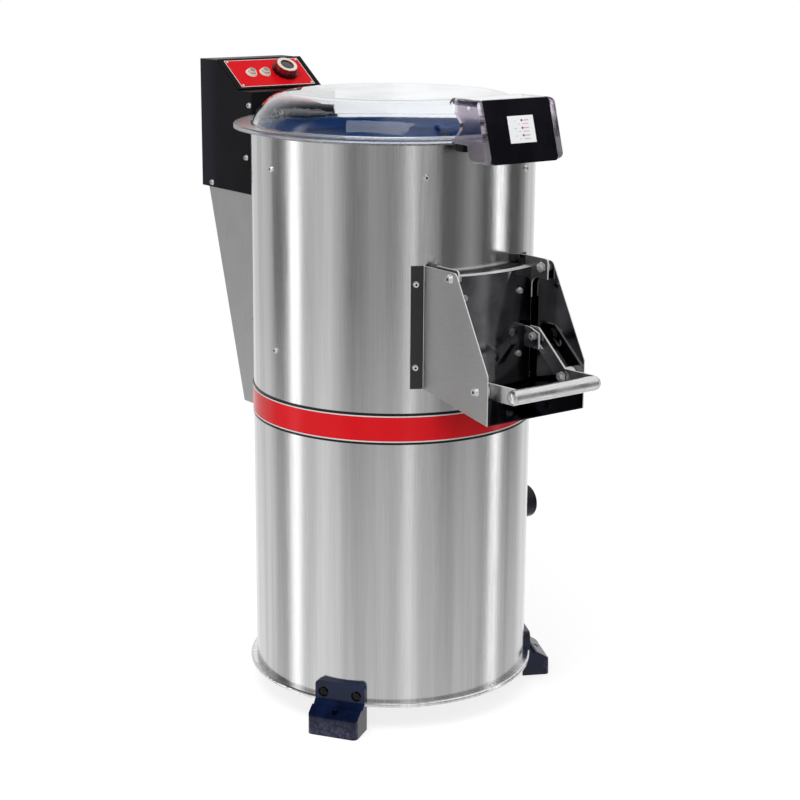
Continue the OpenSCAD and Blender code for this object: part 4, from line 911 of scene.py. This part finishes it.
collar_section = [(COLLAR_BORE, COLLAR_LOW), (COLLAR_R - COLLAR_CHAMFER, COLLAR_LOW),
                  (COLLAR_R, COLLAR_LOW + COLLAR_CHAMFER), (COLLAR_R, COLLAR_HIGH - COLLAR_CHAMFER),
                  (COLLAR_R - COLLAR_CHAMFER, COLLAR_HIGH), (COLLAR_BORE, COLLAR_HIGH)]
collars = [turned(collar_section, 64, facing_out(side, *COLLAR_AT)) for side in BOTH_SIDES]
make_piece("pivot_collars", joined(collars), "machine", white_nylon, CREASE)

heads = [domed_head(0.0036, 0.0018, facing_out(side, *CHEEK_SCREW_AT)) for side in BOTH_SIDES]
make_piece("cheek_screws", joined(heads), "lid", white_nylon, CREASE)

# %% [markdown]
# ## Card on the lid handle
#
# A small white card sits on the black handle plate. It carries three plain rows of dots and
# dashes and no words. Every mark is given once, for one row, and repeated in each.

# %% Card on the lid handle
HANDLE_TILT = math.atan2(0.030, 0.104)
CARD = (Matrix.Translation((0.0, -0.3564, 1.0985))
        @ Matrix.Rotation(math.radians(90) - HANDLE_TILT, 4, "X"))
ROW_HEIGHTS = (0.0150, 0.0022, -0.0104)
DOT_R, DASH_W, INK_T = 0.0019, 0.0012, 0.0003
DOT_BASE, DASH_MIDDLE = 0.0004, 0.0005  # heights above the card's middle

paper = plastic("White card", (0.90, 0.90, 0.92), (0.94, 0.94, 0.95), 0.4, 0.5, scale=400.0, depth=0.05)
make_piece("handle_card", slab((0.056, 0.046, 0.0008), (0.0025, 0.0, 0.0), 0.0003, CARD),
           "lid", paper)


def dot(x, y):
    return turned([(0.0, 0.0), (DOT_R, 0.0), (DOT_R, INK_T), (0.0, INK_T)], 24,
                  CARD @ Matrix.Translation((x, y, DOT_BASE)))


def dash(x, y, run):
    return slab((run, DASH_W, INK_T), (x, y, DASH_MIDDLE), 0.0, CARD)


def print_rows(name, dark, light, marks_at):
    """Prints marks, given as (x, y, length), in each row; a mark without length is a dot."""
    ink = plastic(name, dark, light, 0.4, 0.5, scale=400.0, depth=0.02)
    rows = [dash(x, row + y, run) if run else dot(x, row + y)
            for row in ROW_HEIGHTS for x, y, run in marks_at]
    make_piece(name.lower().replace(" ", "_"), joined(rows), "lid", ink)


print_rows("Dark red dots", (0.20, 0.01, 0.05), (0.28, 0.015, 0.07),
           [(0.0039, 0.0, 0.0)])
print_rows("Pink dashes", (0.72, 0.16, 0.32), (0.80, 0.24, 0.40),
           [(0.0125, 0.0, 0.0125)])
print_rows("Grey dashes", (0.50, 0.50, 0.52), (0.60, 0.60, 0.62),
           [(0.0115, -0.0058, 0.013)])
print_rows("Green dashes", (0.45, 0.72, 0.60), (0.55, 0.80, 0.70),
           [(-0.0110, -0.0005, 0.006), (-0.0030, -0.0058, 0.005)])

# %% [markdown]
# ## Studio
#
# A long machine of polished sheet shows whatever stands around it, so the room matters more
# than the lamps. Grey cards and tall lamp strips stand round the machine; their levels go by
# bearing from the camera, and the left is below zero. Overhead the room is bright on the right
# and dark on the left. The camera and the clear lid see plain white.

# %% World
ROOM = [(-180, 1.0), (-140, 0.68), (-116, 0.64), (-112, 0.22), (-94, 0.24), (-88.5, 2.2),
        (-84, 2.2), (-79, 0.80), (-72, 0.64), (-62, 0.80), (-42, 0.66), (-37, 0.28), (-25, 0.28),
        (-21, 0.45), (-12, 0.42), (-1, 0.26), (9, 0.45), (13, 0.95), (17, 0.90), (22, 0.32),
        (31, 0.56), (36, 0.15), (54, 0.16), (68, 0.42), (73, 0.13), (89, 0.13), (93, 2.2),
        (98, 2.2), (102, 0.08), (124, 0.14), (134, 0.6), (180, 1.05)]
TOP_LEVEL = 2.4    # the level that a white stop of the ramp stands for
MATT_LIGHT = 0.75  # what matt surfaces get from the room

world = bpy.data.worlds.new("studio")
scene.world = world
world.use_nodes = True
sky = world.node_tree
ways = split(sky, sky.nodes.new("ShaderNodeTexCoord").outputs["Generated"])
turn = maths(sky, "SUBTRACT", maths(sky, "ARCTAN2", ways["Y"], ways["X"]),
             math.radians(CAMERA_BEARING + 180))
share = maths(sky, "FRACT", maths(sky, "ADD", maths(sky, "DIVIDE", turn, math.tau), 2.0))
ramp = add(sky, "ShaderNodeValToRGB", Fac=share)
stops = ramp.color_ramp.elements
while len(stops) < len(ROOM):
    stops.new(0.5)
for stop, (bearing, level) in zip(stops, ROOM):
    stop.position = (bearing + 180) / 360
    stop.color = grey(level / TOP_LEVEL)
ramp_level = add(sky, "ShaderNodeSeparateColor", Color=ramp.outputs[0]).outputs[0]
walls = maths(sky, "MULTIPLY", ramp_level, TOP_LEVEL)
overhead = remap(sky, ways["Z"], 0.25, 0.75)
ceiling = remap(sky, maths(sky, "SINE", turn), -0.1, 0.7, 1.0, 0.06)
room_level = maths(sky, "ADD", both(sky, walls, without(sky, overhead)),
                   both(sky, ceiling, overhead))
path = sky.nodes.new("ShaderNodeLightPath").outputs
clear = maths(sky, "MAXIMUM", path["Is Camera Ray"], path["Is Transmission Ray"])
plain = maths(sky, "ADD", maths(sky, "MULTIPLY", clear, 1.0 - MATT_LIGHT), MATT_LIGHT)
glossy = path["Is Glossy Ray"]
strength = maths(sky, "ADD", both(sky, glossy, room_level),
                 both(sky, without(sky, glossy), plain))
background = sky.nodes["Background"]
background.inputs["Color"].default_value = grey(1.0)
sky.links.new(strength, background.inputs["Strength"])
print("room of", len(ROOM), "stops")

# %% [markdown]
# ## Floor and lamp
#
# The floor is pale and keeps a soft shadow. To the camera it adds light of its own, so it ends
# in the white behind it. Seen in the polished drum it fades out with distance.

# %% Floor and lamp
LAMP_AT, LAMP_AIM = Vector((-1.6, -1.2, 3.4)), Vector((0, 0, 0.6))


def mix_shaders(tree, factor, first, second):
    node = tree.nodes.new("ShaderNodeMixShader")
    for socket, value in zip(node.inputs, (factor, first, second)):
        tree.links.new(value, socket)
    return node.outputs[0]


def glow(tree, strength):
    return add(tree, "ShaderNodeEmission", Color=grey(1.0), Strength=strength).outputs[0]


def floor_finish():
    material = bpy.data.materials.new("Pale studio floor")
    material.use_nodes = True
    tree = material.node_tree
    tree.nodes.remove(tree.nodes["Principled BSDF"])
    rays = tree.nodes.new("ShaderNodeLightPath").outputs
    matt = add(tree, "ShaderNodeBsdfDiffuse", Color=grey(0.40)).outputs[0]
    lit = tree.nodes.new("ShaderNodeAddShader")
    for socket, value in zip(lit.inputs, (matt, glow(tree, 0.70))):
        tree.links.new(value, socket)
    direct = maths(tree, "MAXIMUM", rays["Is Camera Ray"], rays["Is Transmission Ray"])
    to_camera = mix_shaders(tree, direct, matt, lit.outputs[0])
    distance = length(tree, tree.nodes.new("ShaderNodeTexCoord").outputs["Object"])
    near = remap(tree, distance, 0.4, 4.2, 0.46, 0.0, smooth=False)
    nothing = tree.nodes.new("ShaderNodeBsdfTransparent").outputs[0]
    in_mirror = mix_shaders(tree, near, nothing, glow(tree, 1.15))
    by_ray = mix_shaders(tree, rays["Is Glossy Ray"], to_camera, in_mirror)
    tree.links.new(by_ray, tree.nodes["Material Output"].inputs["Surface"])
    return material


bm = bmesh.new()
bmesh.ops.create_circle(bm, cap_ends=True, segments=96, radius=9.0)
floor_mesh = bpy.data.meshes.new("studio_floor")
bm.to_mesh(floor_mesh)
bm.free()
floor_mesh.materials.append(floor_finish())
floor = bpy.data.objects.new("studio_floor", floor_mesh)
scene.collection.objects.link(floor)

lamp_data = bpy.data.lights.new("soft_key", "AREA")
lamp_data.shape = "RECTANGLE"
lamp_data.size = 2.4
lamp_data.size_y = 1.8
lamp_data.energy = 55
lamp = bpy.data.objects.new("soft_key", lamp_data)
scene.collection.objects.link(lamp)
lamp.visible_glossy = False
aim = (LAMP_AIM - LAMP_AT).to_track_quat("-Z", "Y").to_matrix().to_4x4()
lamp.matrix_world = Matrix.Translation(LAMP_AT) @ aim
print("floor and one soft lamp")

# %% Close
bpy.context.view_layer.update()
